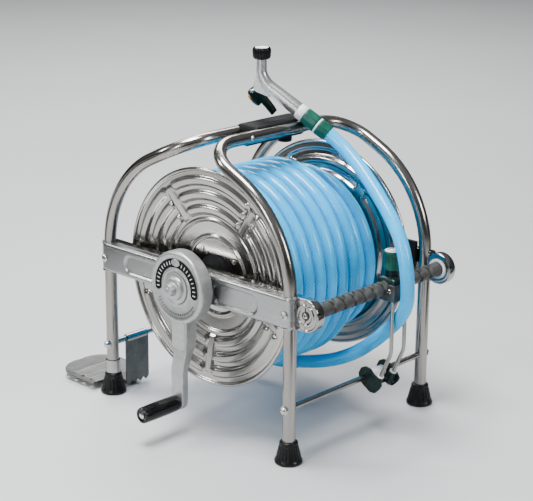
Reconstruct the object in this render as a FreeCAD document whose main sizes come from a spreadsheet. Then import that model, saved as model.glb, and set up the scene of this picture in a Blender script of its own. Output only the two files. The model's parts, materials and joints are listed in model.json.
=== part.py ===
import FreeCAD, Part
import Sketcher
import math
import os
import re

# Garden hose reel: bent-tube frame, crank-driven drum, level-wind guide on a
# double-helix screw, ground pedal, parked spray nozzle and its hose.
# Millimetres. X runs along the drum's axle with the crank at -X, the hose
# guide is at the front (-Y), and Z is up from the floor. Sub-parts are placed
# from the point on the floor midway between the four legs.

os.makedirs("parts", exist_ok=True)
Vec = FreeCAD.Vector
doc = FreeCAD.newDocument("hose_reel")

# --- driving dimensions ----------------------------------------------------
DIMENSIONS = {
    # frame
    "tube_dia": 19.0,          # 19 mm stainless tube
    "tube_wall": 1.2,
    "leg_x": 151.0,            # half the leg spacing along the axle
    "leg_y": 188.0,            # half the leg spacing front to back
    "handle_y": 19.0,          # each carrying-handle tube from the middle
    "handle_height": 430.0,
    "arch_radius": 168.0,
    "arch_slope": 26.0,        # rise of the shoulder towards the handle, degrees
    "shoulder_radius": 58.0,
    "tube_end": 6.0,           # tube end above the floor, inside the foot
    "bar_dia": 9.0,
    "bar_height": 82.0,
    "foot_height": 33.0,
    "foot_base": 41.0,
    "foot_top": 27.0,
    # bearing arms
    "axle_height": 226.0,
    "arm_height": 46.0,
    "arm_face": 163.0,         # outer face of each arm from the middle
    "sheet": 1.2,
    "case_inner": 134.0,       # inner face of the drive case
    "case_split": 150.0,
    "screw_y": 214.0,          # level-wind screw in front of the middle
    "housing_dia": 48.0,
    "housing_face": 150.0,
    # drum
    "flange_radius": 166.0,
    "flange_sheet": 1.0,
    "rim_bead": 3.0,
    "near_flange": 125.0,
    "far_flange": 137.0,
    "dish_depth": 17.0,        # hub face inside the rim's plane
    "barrel_radius": 62.0,
    "axle_dia": 18.0,
    "axle_bore": 12.0,
    "axle_far": 178.0,
    "inlet_reach": 19.0,       # inlet nipple beyond the axle's far end
    "running_gap": 0.05,
    # hose
    "hose_dia": 21.0,
    "wind_pitch": 25.0,        # guide advance for each turn of the drum
    "screw_lead": 21.75,       # guide advance for each turn of the screw
    "layer_rise": 17.6,
    "layers": 5,
    "coil_far": 118.0,
    # crank
    "crank_dia": 106.0,
    "crank_back": 167.0,
    "crank_front": 190.4,
    "crank_throw": 178.0,
    "grip_dia": 25.0,
    "grip_length": 70.0,
    "grip_gap": 0.6,           # from the crank's face to the start of its grip
    # level-wind guide
    "screw_dia": 21.6,
    "guide_x": 38.0,           # the guide's place along the screw at rest
    "rod_gap": 29.5,           # between the two guide rods' centres
    "rod_dia": 6.0,
    "rod_y": 229.5,
    "block_width": 37.0,
    # carrying grip
    "grip_half": 57.0,
    "grip_centre": 12.0,
    # drive
    "pulley_dia": 34.0,
    "belt_width": 3.6,
    # pedal
    "pedal_x": -120.0,
    "pedal_width": 104.0,
    "pedal_height": 12.0,
    "pedal_reach": 120.0,      # tread's far edge behind the hinge bar
}

sizes = doc.addObject("Spreadsheet::Sheet", "sizes")
for row, (alias, amount) in enumerate(DIMENSIONS.items(), start=1):
    sizes.set("A%d" % row, alias)
    sizes.set("B%d" % row, str(amount))
    sizes.setAlias("B%d" % row, alias)
doc.recompute()

# The finished reel stands with its middle over the origin: the crank grip and
# the inlet are its ends along X, the drive case and the pedal those along Y.
SHIFT_X = "(crank_front + grip_gap + grip_length - axle_far - inlet_reach) / 2"
SHIFT_Y = "(screw_y + housing_dia / 2 - leg_y - pedal_reach) / 2"

ALIAS = re.compile(r"[a-z_]+")
SUB_PARTS = []


def link(words):
    """An expression with every dimension's name pointed at the sheet."""
    def point(match):
        name = match.group(0)
        return "sizes." + name if name in DIMENSIONS else name
    return ALIAS.sub(point, str(words))


def number(words):
    """The value of an expression, in millimetres or degrees."""
    return float(sizes.evalExpression(link(words)))


def keep(part, label, x="0", y="0", z="0"):
    """Name a finished sub-part and set it in its place."""
    part.Label = label
    x = "%s + %s" % (x, SHIFT_X)
    y = "%s + %s" % (y, SHIFT_Y)
    spin = part.Placement.Rotation
    part.Placement = FreeCAD.Placement(Vec(number(x), number(y), number(z)), spin)
    for axis, words in (("x", x), ("y", y), ("z", z)):
        part.setExpression("Placement.Base." + axis, link(words))
    SUB_PARTS.append(part)
    return part


# --- PartDesign helpers ----------------------------------------------------
def origin_plane(body, role):
    return [f for f in body.Origin.OriginFeatures if f.Role == role][0]


def outline(body, plane, corners):
    """A closed sketch whose corners are given as pairs of expressions."""
    sketch = body.newObject("Sketcher::SketchObject", body.Name + "_sketch")
    sketch.AttachmentSupport = (origin_plane(body, plane), [""])
    sketch.MapMode = "FlatFace"
    places = [Vec(number(u), number(v), 0) for u, v in corners]
    count = len(places)
    for i in range(count):
        sketch.addGeometry(Part.LineSegment(places[i], places[(i + 1) % count]), False)
    for i in range(count):
        sketch.addConstraint(Sketcher.Constraint("Coincident", i, 2, (i + 1) % count, 1))
    for i, (corner, place) in enumerate(zip(corners, places)):
        for kind, words, amount, axis in (("DistanceX", corner[0], place.x, -2),
                                          ("DistanceY", corner[1], place.y, -1)):
            if abs(amount) < 1e-9:
                sketch.addConstraint(Sketcher.Constraint("PointOnObject", i, 1, axis))
                continue
            index = sketch.addConstraint(
                Sketcher.Constraint(kind, -1, 1, i, 1, amount))
            sketch.setExpression("Constraints[%d]" % index, link(words))
    return sketch


def turned(label, corners, x="0", y="0", z="0", about="X"):
    """A turned piece: corners are (along the axis, radius) pairs."""
    body = doc.addObject("PartDesign::Body", label)
    if about == "X":
        sketch = outline(body, "XZ_Plane", corners)
        axis = "H_Axis"
    else:
        sketch = outline(body, "XZ_Plane", [(r, a) for a, r in corners])
        axis = "V_Axis"
    turn = body.newObject("PartDesign::Revolution", label + "_turn")
    turn.Profile = sketch
    turn.ReferenceAxis = (sketch, [axis])
    turn.Angle = 360.0
    doc.recompute()
    return keep(body, label, x, y, z)


def padded(body, plane, corners, length, name="pad"):
    """A plate: a closed outline padded evenly to both sides of its plane."""
    sketch = outline(body, plane, corners)
    pad = body.newObject("PartDesign::Pad", body.Name + "_" + name)
    pad.Profile = sketch
    pad.Midplane = True
    pad.Length = number(length)
    pad.setExpression("Length", link(length))
    doc.recompute()
    return pad


def rounded(body, base, edges, radius):
    """Round some edges of a body's last feature."""
    fillet = body.newObject("PartDesign::Fillet", body.Name + "_round")
    fillet.Base = (base, edges)
    fillet.Radius = number(radius)
    fillet.setExpression("Radius", link(radius))
    doc.recompute()
    return fillet


def edges_along(shape, direction, where=lambda edge: True):
    """Names of the straight edges that run along a direction."""
    names = []
    for i, edge in enumerate(shape.Edges, start=1):
        if edge.Curve.TypeId != "Part::GeomLine":
            continue
        if abs(abs(edge.tangentAt(edge.FirstParameter).dot(direction)) - 1) < 1e-6:
            if where(edge):
                names.append("Edge%d" % i)
    return names


# --- Part helpers ----------------------------------------------------------
def cylinder(name, radius, height, x="0", y="0", z="0", along="Z"):
    """A round bar from a point along an axis."""
    piece = doc.addObject("Part::Cylinder", name)
    piece.setExpression("Radius", link(radius))
    piece.setExpression("Height", link(height))
    swing = {"Z": Vec(0, 0, 1), "X": Vec(1, 0, 0), "Y": Vec(0, 1, 0)}[along]
    turn = FreeCAD.Rotation(Vec(0, 0, 1), swing)
    piece.Placement = FreeCAD.Placement(Vec(number(x), number(y), number(z)), turn)
    for axis, words in (("x", x), ("y", y), ("z", z)):
        piece.setExpression("Placement.Base." + axis, link(words))
    return piece


def block(name, size, corner):
    """A rectangular block from its lowest corner."""
    piece = doc.addObject("Part::Box", name)
    for key, words in zip(("Length", "Width", "Height"), size):
        piece.setExpression(key, link(words))
    piece.Placement = FreeCAD.Placement(Vec(*[number(w) for w in corner]),
                                        FreeCAD.Rotation())
    for axis, words in zip("xyz", corner):
        piece.setExpression("Placement.Base." + axis, link(words))
    return piece


def cut(name, base, tool):
    piece = doc.addObject("Part::Cut", name)
    piece.Base = base
    piece.Tool = tool
    return piece


def fuse(name, pieces):
    piece = doc.addObject("Part::MultiFuse", name)
    piece.Shapes = pieces
    return piece


def feature(label, shape):
    """A sub-part whose shape is made directly."""
    piece = doc.addObject("Part::Feature", label)
    piece.Shape = shape
    return piece


def rounded_path(points, radii=None):
    """Straight runs joined by tangent arcs, and the arc radii.

    Without given radii each arc takes 0.45 of its shorter run.
    """
    places = [Vec(*p) for p in points]
    edges = []
    used = []
    start = places[0]
    for i in range(1, len(places) - 1):
        before = places[i] - places[i - 1]
        after = places[i + 1] - places[i]
        half_turn = before.getAngle(after) / 2.0
        if radii is None:
            radius = 0.45 * min(before.Length, after.Length) / math.tan(half_turn)
        else:
            radius = radii[i - 1]
        back = radius * math.tan(half_turn)
        unit_in = Vec(before).normalize()
        unit_out = Vec(after).normalize()
        arc_in = places[i] - unit_in * back
        arc_out = places[i] + unit_out * back
        middle_line = (unit_out - unit_in).normalize()
        middle = places[i] + middle_line * (radius / math.cos(half_turn) - radius)
        if (arc_in - start).Length > 1e-6:
            edges.append(Part.LineSegment(start, arc_in).toShape())
        edges.append(Part.Arc(arc_in, middle, arc_out).toShape())
        used.append(radius)
        start = arc_out
    edges.append(Part.LineSegment(start, places[-1]).toShape())
    return Part.Wire(edges), used


def round_section(path, radius):
    """A circle square to the start of a path."""
    first = path.Edges[0]
    start = first.valueAt(first.FirstParameter)
    along = first.tangentAt(first.FirstParameter)
    return Part.Wire([Part.makeCircle(radius, start, along)])


def swept(path, radius):
    return path.makePipeShell([round_section(path, radius)], True, False)


# --- frame tubes -----------------------------------------------------------
def frame_tube(label, side):
    """One bent tube: near foot, shoulder, handle, shoulder, far foot."""
    slope = math.radians(number("arch_slope"))
    leg_x = number("leg_x")
    leg_y = number("leg_y")
    handle_y = number("handle_y")
    top = number("handle_height")
    elbow = top - (leg_y - handle_y) * math.tan(slope)
    low = number("tube_end")
    points = [
        (-leg_x, side * leg_y, low),
        (-leg_x, side * leg_y, elbow),
        (-leg_x, side * handle_y, top),
        (leg_x, side * handle_y, top),
        (leg_x, side * leg_y, elbow),
        (leg_x, side * leg_y, low),
    ]
    radii = [number(w) for w in
             ("arch_radius", "shoulder_radius", "shoulder_radius", "arch_radius")]
    path, _ = rounded_path(points, radii)
    outer = swept(path, number("tube_dia / 2"))
    inner = swept(path, number("tube_dia / 2 - tube_wall"))
    return keep(feature(label, outer.cut(inner)), label)


frame_tube("front_tube", -1)
frame_tube("rear_tube", 1)

for label, side in (("front_lower_bar", "-"), ("rear_lower_bar", "")):
    outer = cylinder(label + "_outside", "bar_dia / 2", "2 * leg_x - tube_dia + 1",
                     "-leg_x + tube_dia / 2 - 0.5", side + "leg_y", "bar_height", "X")
    bore = cylinder(label + "_bore", "bar_dia / 2 - 1", "2 * leg_x - tube_dia + 3",
                    "-leg_x + tube_dia / 2 - 1.5", side + "leg_y", "bar_height", "X")
    keep(cut(label, outer, bore), label)

# --- feet --------------------------------------------------------------------
FOOT = [
    ("0", "0"),
    ("0", "foot_base / 2 - 1.5"),
    ("1.5", "foot_base / 2"),
    ("4", "foot_base / 2"),
    ("foot_height - 1.5", "foot_top / 2"),
    ("foot_height", "foot_top / 2 - 1.5"),
    ("foot_height", "tube_dia / 2"),
    ("tube_end", "tube_dia / 2"),
    ("tube_end", "0"),
]
for across, x in (("near", "-leg_x"), ("far", "leg_x")):
    for along, y in (("front", "-leg_y"), ("rear", "leg_y")):
        turned("foot_%s_%s" % (along, across), FOOT, x, y, "0", about="Z")


# --- bearing arms ------------------------------------------------------------
def leg_tools(name, side):
    """Bars the size of the two legs, to clear an arm around them."""
    return [cylinder("%s_leg_%d" % (name, i), "tube_dia / 2 + 0.02",
                     "2 * arm_height", side + "leg_x", y,
                     "axle_height - arm_height")
            for i, y in enumerate(("-leg_y", "leg_y"))]


def arm_bar(name, x_low, x_high, y_low, rounded_x):
    """The solid envelope of an arm, its outer long edges rounded."""
    body = block(name, ("%s - (%s)" % (x_high, x_low),
                        "leg_y + tube_dia / 2 + 1.5 - (%s)" % y_low, "arm_height"),
                 (x_low, y_low, "axle_height - arm_height / 2"))
    soft = doc.addObject("Part::Fillet", name + "_soft")
    soft.Base = body
    doc.recompute()
    wanted = []
    for i, edge in enumerate(body.Shape.Edges, start=1):
        along_y = abs(edge.tangentAt(edge.FirstParameter).y) > 0.9
        if along_y and abs(edge.CenterOfMass.x - number(rounded_x)) < 0.01:
            wanted.append((i, 3.0, 3.0))
    soft.Edges = wanted
    return soft


def arm_hollow(name, x_low, x_high):
    """The space inside a folded arm, between the two legs."""
    return block(name, ("%s - (%s)" % (x_high, x_low), "2 * leg_y - tube_dia - 6",
                        "arm_height - 2 * sheet"),
                 (x_low, "-leg_y + tube_dia / 2 + 3",
                  "axle_height - arm_height / 2 + sheet"))


def across(name, radius, x_low, x_high, y="0"):
    """A bar along the axle's direction at the axle's height."""
    return cylinder(name, radius, "%s - (%s)" % (x_high, x_low), x_low, y,
                    "axle_height", "X")


BUSH = "axle_dia / 2 + 4"

near_outer = arm_bar("near_outer", "-arm_face", "-case_split",
                     "-leg_y - tube_dia / 2 - 1.5", "-arm_face")
near_outer_tools = [arm_hollow("near_outer_hollow", "-arm_face + sheet", "-case_split + 1"),
                    across("near_outer_bore", BUSH, "-arm_face - 2", "-case_split + 2")]
keep(cut("near_arm_outer", near_outer,
         fuse("near_outer_tools", near_outer_tools + leg_tools("near_outer", "-"))),
     "near_arm_outer")

case_bar = arm_bar("case_bar", "-case_split", "-case_inner", "-screw_y", "-case_inner")
case_nose = across("case_nose", "housing_dia / 2", "-housing_face", "-case_inner", "-screw_y")
case_front = block("case_front", ("housing_face - case_split + 1", "screw_y - leg_y - 12",
                                  "arm_height"),
                   ("-housing_face", "-screw_y", "axle_height - arm_height / 2"))
belt_side = "-leg_x + tube_dia / 2 + 0.3"
case_slot = block("case_slot", ("leg_x - tube_dia / 2 - 0.3 - case_inner - sheet",
                                "screw_y - leg_y + 30", "arm_height - 2 * sheet"),
                  (belt_side, "-screw_y", "axle_height - arm_height / 2 + sheet"))
case_pocket = across("case_pocket", "housing_dia / 2 - 2.5", "-housing_face + 2",
                     "-case_inner - sheet", "-screw_y")
case_tools = [arm_hollow("case_hollow", "-case_split - 1", "-case_inner - sheet"),
              case_slot, case_pocket,
              across("case_bore", BUSH, "-case_split - 2", "-case_inner + 2"),
              across("case_screw_bore", "9", "-case_inner - 4", "-case_inner + 2", "-screw_y"),
              across("case_pivot_bore", "4", "-housing_face - 2", "-housing_face + 4", "-screw_y")]
keep(cut("near_arm_inner", fuse("case_solid", [case_bar, case_nose, case_front]),
         fuse("case_tools", case_tools + leg_tools("case", "-"))), "near_arm_inner")

far_bar = arm_bar("far_bar", "case_split - 1", "arm_face", "-screw_y", "arm_face")
far_nose = across("far_nose", "housing_dia / 2", "case_split - 1", "arm_face", "-screw_y")
far_tools = [arm_hollow("far_hollow", "case_split - 2", "arm_face - sheet"),
             across("far_bore", BUSH, "case_split - 3", "arm_face + 2"),
             across("far_screw_bore", "9", "case_split - 3", "arm_face - 3", "-screw_y")]
keep(cut("far_arm_outer", fuse("far_solid", [far_bar, far_nose]),
         fuse("far_tools", far_tools + leg_tools("far", ""))), "far_arm_outer")

inner_plate = block("far_inner_plate", ("1.5", "2 * leg_y - tube_dia - 3", "arm_height - 2"),
                    ("case_split - 2.6", "-leg_y + tube_dia / 2 + 1.5",
                     "axle_height - arm_height / 2 + 1"))
keep(cut("far_arm_inner", inner_plate,
         across("far_inner_bore", BUSH, "case_split - 4", "case_split + 1")), "far_arm_inner")

SIDE_BLOCK = ("case_split - 8.4", "-leg_y + tube_dia / 2 + 2", "axle_height + 2")
keep(block("far_side_block", ("5.5", "20", "34"), SIDE_BLOCK), "far_side_block", *SIDE_BLOCK)

# --- bushes ------------------------------------------------------------------
AXLE_FIT = "axle_dia / 2 + running_gap"
JOURNAL = "6"
JOURNAL_FIT = "6 + running_gap"


def ring(label, outer, inner, x_low, x_high, y="0"):
    """A plain ring about a line along the axle's direction."""
    return turned(label, [(x_low, inner), (x_low, outer), (x_high, outer), (x_high, inner)],
                  "0", y, "axle_height")


ring("axle_bush_near", BUSH + " - 0.02", AXLE_FIT, "-arm_face + 0.1", "-case_split + 6")
ring("axle_bush_far", BUSH + " - 0.02", AXLE_FIT, "case_split - 2.5", "arm_face - 0.1")
ring("screw_bush_near", "8.98", JOURNAL_FIT, "-case_inner - sheet", "-case_inner + 2", "-screw_y")
turned("screw_bush_far",
       [("case_split - 3", JOURNAL_FIT), ("case_split - 3", "13"), ("case_split - 1.02", "13"),
        ("case_split - 1.02", "8.98"), ("arm_face - 3.1", "8.98"),
        ("arm_face - 3.1", JOURNAL_FIT)],
       "0", "-screw_y", "axle_height")


# --- fasteners -----------------------------------------------------------------
def pan_screw(start, toward, shank, head=4.5):
    """A pan-head screw: its shank runs back from the head's seat."""
    axis = Vec(*toward)
    seat = Vec(*start)
    stem = Part.makeCylinder(2.0, shank, seat, axis * -1)
    flat = Part.makeCylinder(head, 1.6, seat, axis)
    dome = Part.makeCylinder(head * 0.66, 1.0, seat + axis * 1.6, axis)
    return stem.fuse(flat).fuse(dome).removeSplitter()


frame_screws = []
leg_x = number("leg_x")
leg_y = number("leg_y")
tube = number("tube_dia")
for side in (-1, 1):
    for front in (-1, 1):
        out = (side, 0, 0)
        arm_seat = side * number("arm_face")
        bar_seat = side * (leg_x + tube / 2)
        frame_screws.append(pan_screw((arm_seat, front * leg_y, number("axle_height")),
                                      out, 10.0))
        frame_screws.append(pan_screw((bar_seat, front * leg_y, number("bar_height")),
                                      out, tube + 6.0, 4.0))
keep(feature("frame_screws", Part.makeCompound(frame_screws)), "frame_screws")

# --- carrying grip ---------------------------------------------------------------
def handle_tools(name):
    """Bars the size of the two handle tubes."""
    return [cylinder("%s_tube_%d" % (name, i), "tube_dia / 2 + 0.02", "4 * grip_half",
                     "-2 * grip_half", y, "handle_height", "X")
            for i, y in enumerate(("-handle_y", "handle_y"))]


def grip_shell(label, profile, ends, middle, extra=None):
    """A grip shell: its section across the tubes, padded along them."""
    body = doc.addObject("PartDesign::Body", label + "_body")
    padded(body, "YZ_Plane", profile, ends)
    body.Placement = FreeCAD.Placement(
        Vec(number(middle), 0, number("handle_height")), FreeCAD.Rotation())
    body.setExpression("Placement.Base.x", link(middle))
    body.setExpression("Placement.Base.z", link("handle_height"))
    solid = fuse(label + "_solid", [body, extra]) if extra else body
    keep(cut(label, solid, fuse(label + "_tools", handle_tools(label))), label)


grip_shell("grip_top",
           [("-handle_y + 1", "1"), ("handle_y - 1", "1"), ("handle_y + 2.5", "8.5"),
            ("handle_y + 2.5", "9.9"), ("handle_y - 4", "12.8"), ("-handle_y + 4", "12.8"),
            ("-handle_y - 2.5", "9.9"), ("-handle_y - 2.5", "8.5")],
           "2 * grip_half", "grip_centre")
grip_boss = cylinder("grip_boss", "10", "10", "grip_centre + 20", "-5", "handle_height - 22")
grip_shell("grip_bottom",
           [("-handle_y + 1", "0.7"), ("handle_y - 1", "0.7"), ("handle_y - 1", "-11"),
            ("handle_y - 5", "-14"), ("-handle_y + 5", "-14"), ("-handle_y + 1", "-11")],
           "2 * grip_half + 16", "grip_centre - 11", grip_boss)

grip_screws = []
for end in (-1, 1):
    seat = (number("grip_centre - 11") + end * (number("grip_half") + 5),
            -number("handle_y") - tube / 2, number("handle_height"))
    grip_screws.append(pan_screw(seat, (0, -1, 0), 24.0, 3.6))
keep(feature("grip_screws", Part.makeCompound(grip_screws)), "grip_screws")

# --- pedal and its leg collar -------------------------------------------------------
turned("leg_collar",
       [("foot_height + 2", "tube_dia / 2 + 0.02"), ("foot_height + 2", "11.5"),
        ("foot_height + 22", "11.5"), ("foot_height + 22", "tube_dia / 2 + 0.02")],
       "-leg_x", "leg_y", "0", about="Z")

PEDAL_DROP = "bar_height - pedal_height"
tread = doc.addObject("PartDesign::Body", "tread")
tread_pad = padded(tread, "XY_Plane",
                   [("-pedal_width / 2", "0"), ("pedal_width / 2", "0"),
                    ("pedal_width / 2", "96"), ("-pedal_width / 2", "96")], "2")
tread_corners = edges_along(tread_pad.Shape, Vec(0, 0, 1), lambda e: e.CenterOfMass.y > 50)
rounded(tread, tread_pad, tread_corners, "40")
tread.Placement = FreeCAD.Placement(Vec(number("pedal_x"), number("leg_y + 24"),
                                        number("pedal_height")), FreeCAD.Rotation())
tread_holes = []
for i in range(4):
    tread_holes.append(cylinder("tread_hole_%d" % i, "2.2", "8",
                                "pedal_x - pedal_width / 2 + 7",
                                "leg_y + 38 + %d" % (20 * i), "pedal_height - 4"))
neck = block("pedal_neck", ("38", "30", "2"), ("pedal_x - 8", "leg_y - 4", "pedal_height - 1"))
spike = doc.addObject("PartDesign::Body", "spike")
spike_corners = [("-24", "0"), ("24", "0")]
for i in range(4):
    right = 24 - 12 * i
    spike_corners += [(str(right), "-(%s) + 5" % PEDAL_DROP + " - 12"),
                      (str(right - 6), "-(%s) - 8" % PEDAL_DROP)]
spike_corners.append(("-24", "-(%s) + 5 - 12" % PEDAL_DROP))
spike_pad = padded(spike, "XZ_Plane", spike_corners, "2")
spike.Placement = FreeCAD.Placement(Vec(number("pedal_x + 16"), number("leg_y - 3"),
                                        number("bar_height")), FreeCAD.Rotation())
sleeve = cylinder("pedal_sleeve", "bar_dia / 2 + 2", "42", "pedal_x - 4", "leg_y",
                  "bar_height", "X")
sleeve_bore = cylinder("pedal_sleeve_bore", "bar_dia / 2 + running_gap", "60", "pedal_x - 12",
                       "leg_y", "bar_height", "X")
pedal_solid = fuse("pedal_solid", [tread, neck, spike, sleeve])
keep(cut("pedal", pedal_solid, fuse("pedal_tools", tread_holes + [sleeve_bore])), "pedal")

# --- drum ------------------------------------------------------------------------
# Pressed profile of a flange: (radius, how far its outer skin lies inside the
# rim's plane). The face is dished towards the drum's middle round the hub.
FLANGE_PROFILE = [("18", "dish_depth"), ("56", "dish_depth"), ("58.5", "dish_depth - 3"),
                  ("61.5", "dish_depth - 3"), ("64", "dish_depth - 0.6"), ("83", "13.5"),
                  ("85", "10.9"), ("87", "10.5"), ("89", "12.5")]
for middle in (101, 123.5, 145.5):
    for step, rise in ((-7.5, 0), (-5, 3.75), (5, 3.75), (7.5, 0)):
        depth = 13 - 0.172 * (middle + step - 86) - rise
        FLANGE_PROFILE.append(("%.1f" % (middle + step), "%.2f" % depth))
FLANGE_PROFILE += [("flange_radius - 2 * rim_bead", "0.5")]


def flange(label, wall, out):
    """A pressed flange with ribs and a rolled rim; out is '-' or '+'."""
    back = "-" if out == "+" else "+"
    corners = []
    for radius, depth in FLANGE_PROFILE:
        corners.append(("%s %s (%s)" % (wall, back, depth), radius))
    corners += [("%s %s rim_bead" % (wall, out), "flange_radius - rim_bead - 1"),
                ("%s %s rim_bead" % (wall, out), "flange_radius - 1"),
                ("%s %s (rim_bead - 1)" % (wall, out), "flange_radius")]
    corners += [("%s %s (rim_bead - 1)" % (wall, back), "flange_radius"),
                ("%s %s rim_bead" % (wall, back), "flange_radius - 1"),
                ("%s %s rim_bead" % (wall, back), "flange_radius - rim_bead - 1")]
    for radius, depth in reversed(FLANGE_PROFILE):
        corners.append(("%s %s (%s + flange_sheet)" % (wall, back, depth), radius))
    return turned(label, corners, "0", "0", "axle_height")


flange("flange_near", "-near_flange", "-")
flange("flange_far", "far_flange", "+")

HUB_NEAR = "-near_flange + dish_depth"
HUB_FAR = "far_flange - dish_depth"
BARREL_NEAR = HUB_NEAR + " + flange_sheet + 0.05"
BARREL_FAR = HUB_FAR + " - flange_sheet - 0.05"
turned("barrel",
       [(BARREL_NEAR, "40"), (BARREL_NEAR, "barrel_radius"), (BARREL_FAR, "barrel_radius"),
        (BARREL_FAR, "40"), (BARREL_FAR + " - sheet", "40"),
        (BARREL_FAR + " - sheet", "barrel_radius - sheet"),
        (BARREL_NEAR + " + sheet", "barrel_radius - sheet"), (BARREL_NEAR + " + sheet", "40")],
       "0", "0", "axle_height")
ring("axle", "axle_dia / 2", "axle_bore / 2", "-crank_front + 0.5", "axle_far")

HUB_BORE = "axle_dia / 2 + 0.02"
turned("hub_near",
       [(HUB_NEAR + " - 14", HUB_BORE), (HUB_NEAR + " - 14", "20"), (HUB_NEAR + " - 7", "30"),
        (HUB_NEAR + " - 0.05", "32"), (HUB_NEAR + " - 0.05", "17.9"),
        (HUB_NEAR + " + 16", "17.9"), (HUB_NEAR + " + 16", HUB_BORE)],
       "0", "0", "axle_height")
turned("hub_far",
       [(HUB_FAR + " + 14", HUB_BORE), (HUB_FAR + " + 14", "20"), (HUB_FAR + " + 7", "30"),
        (HUB_FAR + " + 0.05", "32"), (HUB_FAR + " + 0.05", "17.9"),
        (HUB_FAR + " - 16", "17.9"), (HUB_FAR + " - 16", HUB_BORE)],
       "0", "0", "axle_height")

hub_screws = []
for side, wall in ((-1, number(HUB_NEAR)), (1, number(HUB_FAR))):
    for i in range(4):
        around = math.radians(52 + 90 * i)
        seat = (wall + side * 0.05, 46 * math.cos(around),
                number("axle_height") + 46 * math.sin(around))
        hub_screws.append(pan_screw(seat, (side, 0, 0), 8.0, 3.6))
keep(feature("hub_screws", Part.makeCompound(hub_screws)), "hub_screws")

outlet_place = ("-near_flange + 46", "0", "axle_height + axle_dia / 2 + 0.05")
outlet = cylinder("hose_outlet", "7", "barrel_radius - sheet - 0.65 - axle_dia / 2 - 0.05")
keep(outlet, "hose_outlet", *outlet_place)

ring("drum_pulley", "pulley_dia * wind_pitch / screw_lead / 2", HUB_BORE,
     "-case_inner - 7.4", "-case_inner - 2.6")

COIL_OUTER = "barrel_radius + 0.6 + hose_dia + (layers - 1) * layer_rise"
turned("hose_coil",
       [("-near_flange + 18.5", "barrel_radius + 0.6"), ("-near_flange + 14.8", "86"),
        ("-near_flange + 3.8", "150"), ("-near_flange + 3.2", COIL_OUTER),
        ("guide_x + 18", COIL_OUTER), ("guide_x + 18", COIL_OUTER + " - layer_rise"),
        ("coil_far", COIL_OUTER + " - layer_rise"), ("coil_far", "barrel_radius + 0.6")],
       "0", "0", "axle_height")

# --- crank -------------------------------------------------------------------------
ring("crank_collar", "24", HUB_BORE, "-crank_back + 0.02", "-arm_face - 0.3")

crank_housing = doc.addObject("PartDesign::Body", "crank_housing")
disc = outline(crank_housing, "XZ_Plane",
               [("-crank_back", HUB_BORE), ("-crank_back", "crank_dia / 2 - 1.5"),
                ("-crank_back - 1.5", "crank_dia / 2"), ("-crank_front + 4", "crank_dia / 2"),
                ("-crank_front", "crank_dia / 2 - 4"), ("-crank_front", "46"),
                ("-crank_front + 1", "45"), ("-crank_front + 1", "25"),
                ("-crank_front", "24"), ("-crank_front", HUB_BORE)])
disc_turn = crank_housing.newObject("PartDesign::Revolution", "crank_disc_turn")
disc_turn.Profile = disc
disc_turn.ReferenceAxis = (disc, ["H_Axis"])
disc_turn.Angle = 360.0
doc.recompute()
padded(crank_housing, "XZ_Plane",
       [("-crank_front + 3", "-crank_dia / 2 + 8"), ("-crank_front + 3", "-95"),
        ("-crank_back + 2", "-95"), ("-crank_back + 2", "-crank_dia / 2 - 1"),
        ("-crank_back - 2", "-crank_dia / 2 + 1"), ("-crank_back - 2", "-crank_dia / 2 + 8")],
       "32", "socket")
keep(crank_housing, "crank_housing", "0", "0", "axle_height")

crank_arm = doc.addObject("PartDesign::Body", "crank_arm")
arm_pad = padded(crank_arm, "XZ_Plane",
                 [("-crank_front + 4", "-95.05"), ("-crank_back + 1", "-95.05"),
                  ("-crank_back + 1", "-99"), ("-crank_back - 10", "-131"),
                  ("-crank_back - 10", "-crank_throw - 12.5"),
                  ("-crank_front + 0.4", "-crank_throw - 12.5"), ("-crank_front + 0.4", "-131"),
                  ("-crank_front + 4", "-99")], "25.5")
arm_ends = edges_along(arm_pad.Shape, Vec(1, 0, 0), lambda e: e.CenterOfMass.z < -150)
rounded(crank_arm, arm_pad, arm_ends, "12.4")
keep(crank_arm, "crank_arm", "0", "0", "axle_height")

GRIP_START = "crank_front + grip_gap"
turned("crank_grip",
       [("-(%s)" % GRIP_START, "4.06"), ("-(%s)" % GRIP_START, "grip_dia / 2 - 1.5"),
        ("-(%s) - 1.5" % GRIP_START, "grip_dia / 2"),
        ("-(%s) - grip_length + 2" % GRIP_START, "grip_dia / 2"),
        ("-(%s) - grip_length" % GRIP_START, "grip_dia / 2 - 2"),
        ("-(%s) - grip_length" % GRIP_START, "8"),
        ("-(%s) - grip_length + 3" % GRIP_START, "7"),
        ("-(%s) - grip_length + 3" % GRIP_START, "4.06")],
       "0", "0", "axle_height - crank_throw")
turned("crank_spindle",
       [("-crank_back - 12", "0"), ("-crank_back - 12", "4"),
        ("-(%s) - grip_length + 2.6" % GRIP_START, "4"),
        ("-(%s) - grip_length + 2.6" % GRIP_START, "5.6"),
        ("-(%s) - grip_length + 1.2" % GRIP_START, "5"),
        ("-(%s) - grip_length + 0.2" % GRIP_START, "3"),
        ("-(%s) - grip_length" % GRIP_START, "0")],
       "0", "0", "axle_height - crank_throw")
turned("lock_knob",
       [("-crank_front - 0.35", "0"), ("-crank_front - 0.35", "17"),
        ("-crank_front - 3", "17"), ("-crank_front - 4.5", "15"), ("-crank_front - 6", "15"),
        ("-crank_front - 6", "9"), ("-crank_front - 16", "9"), ("-crank_front - 17.5", "7.5"),
        ("-crank_front - 17.5", "0")],
       "0", "0", "axle_height")

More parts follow.
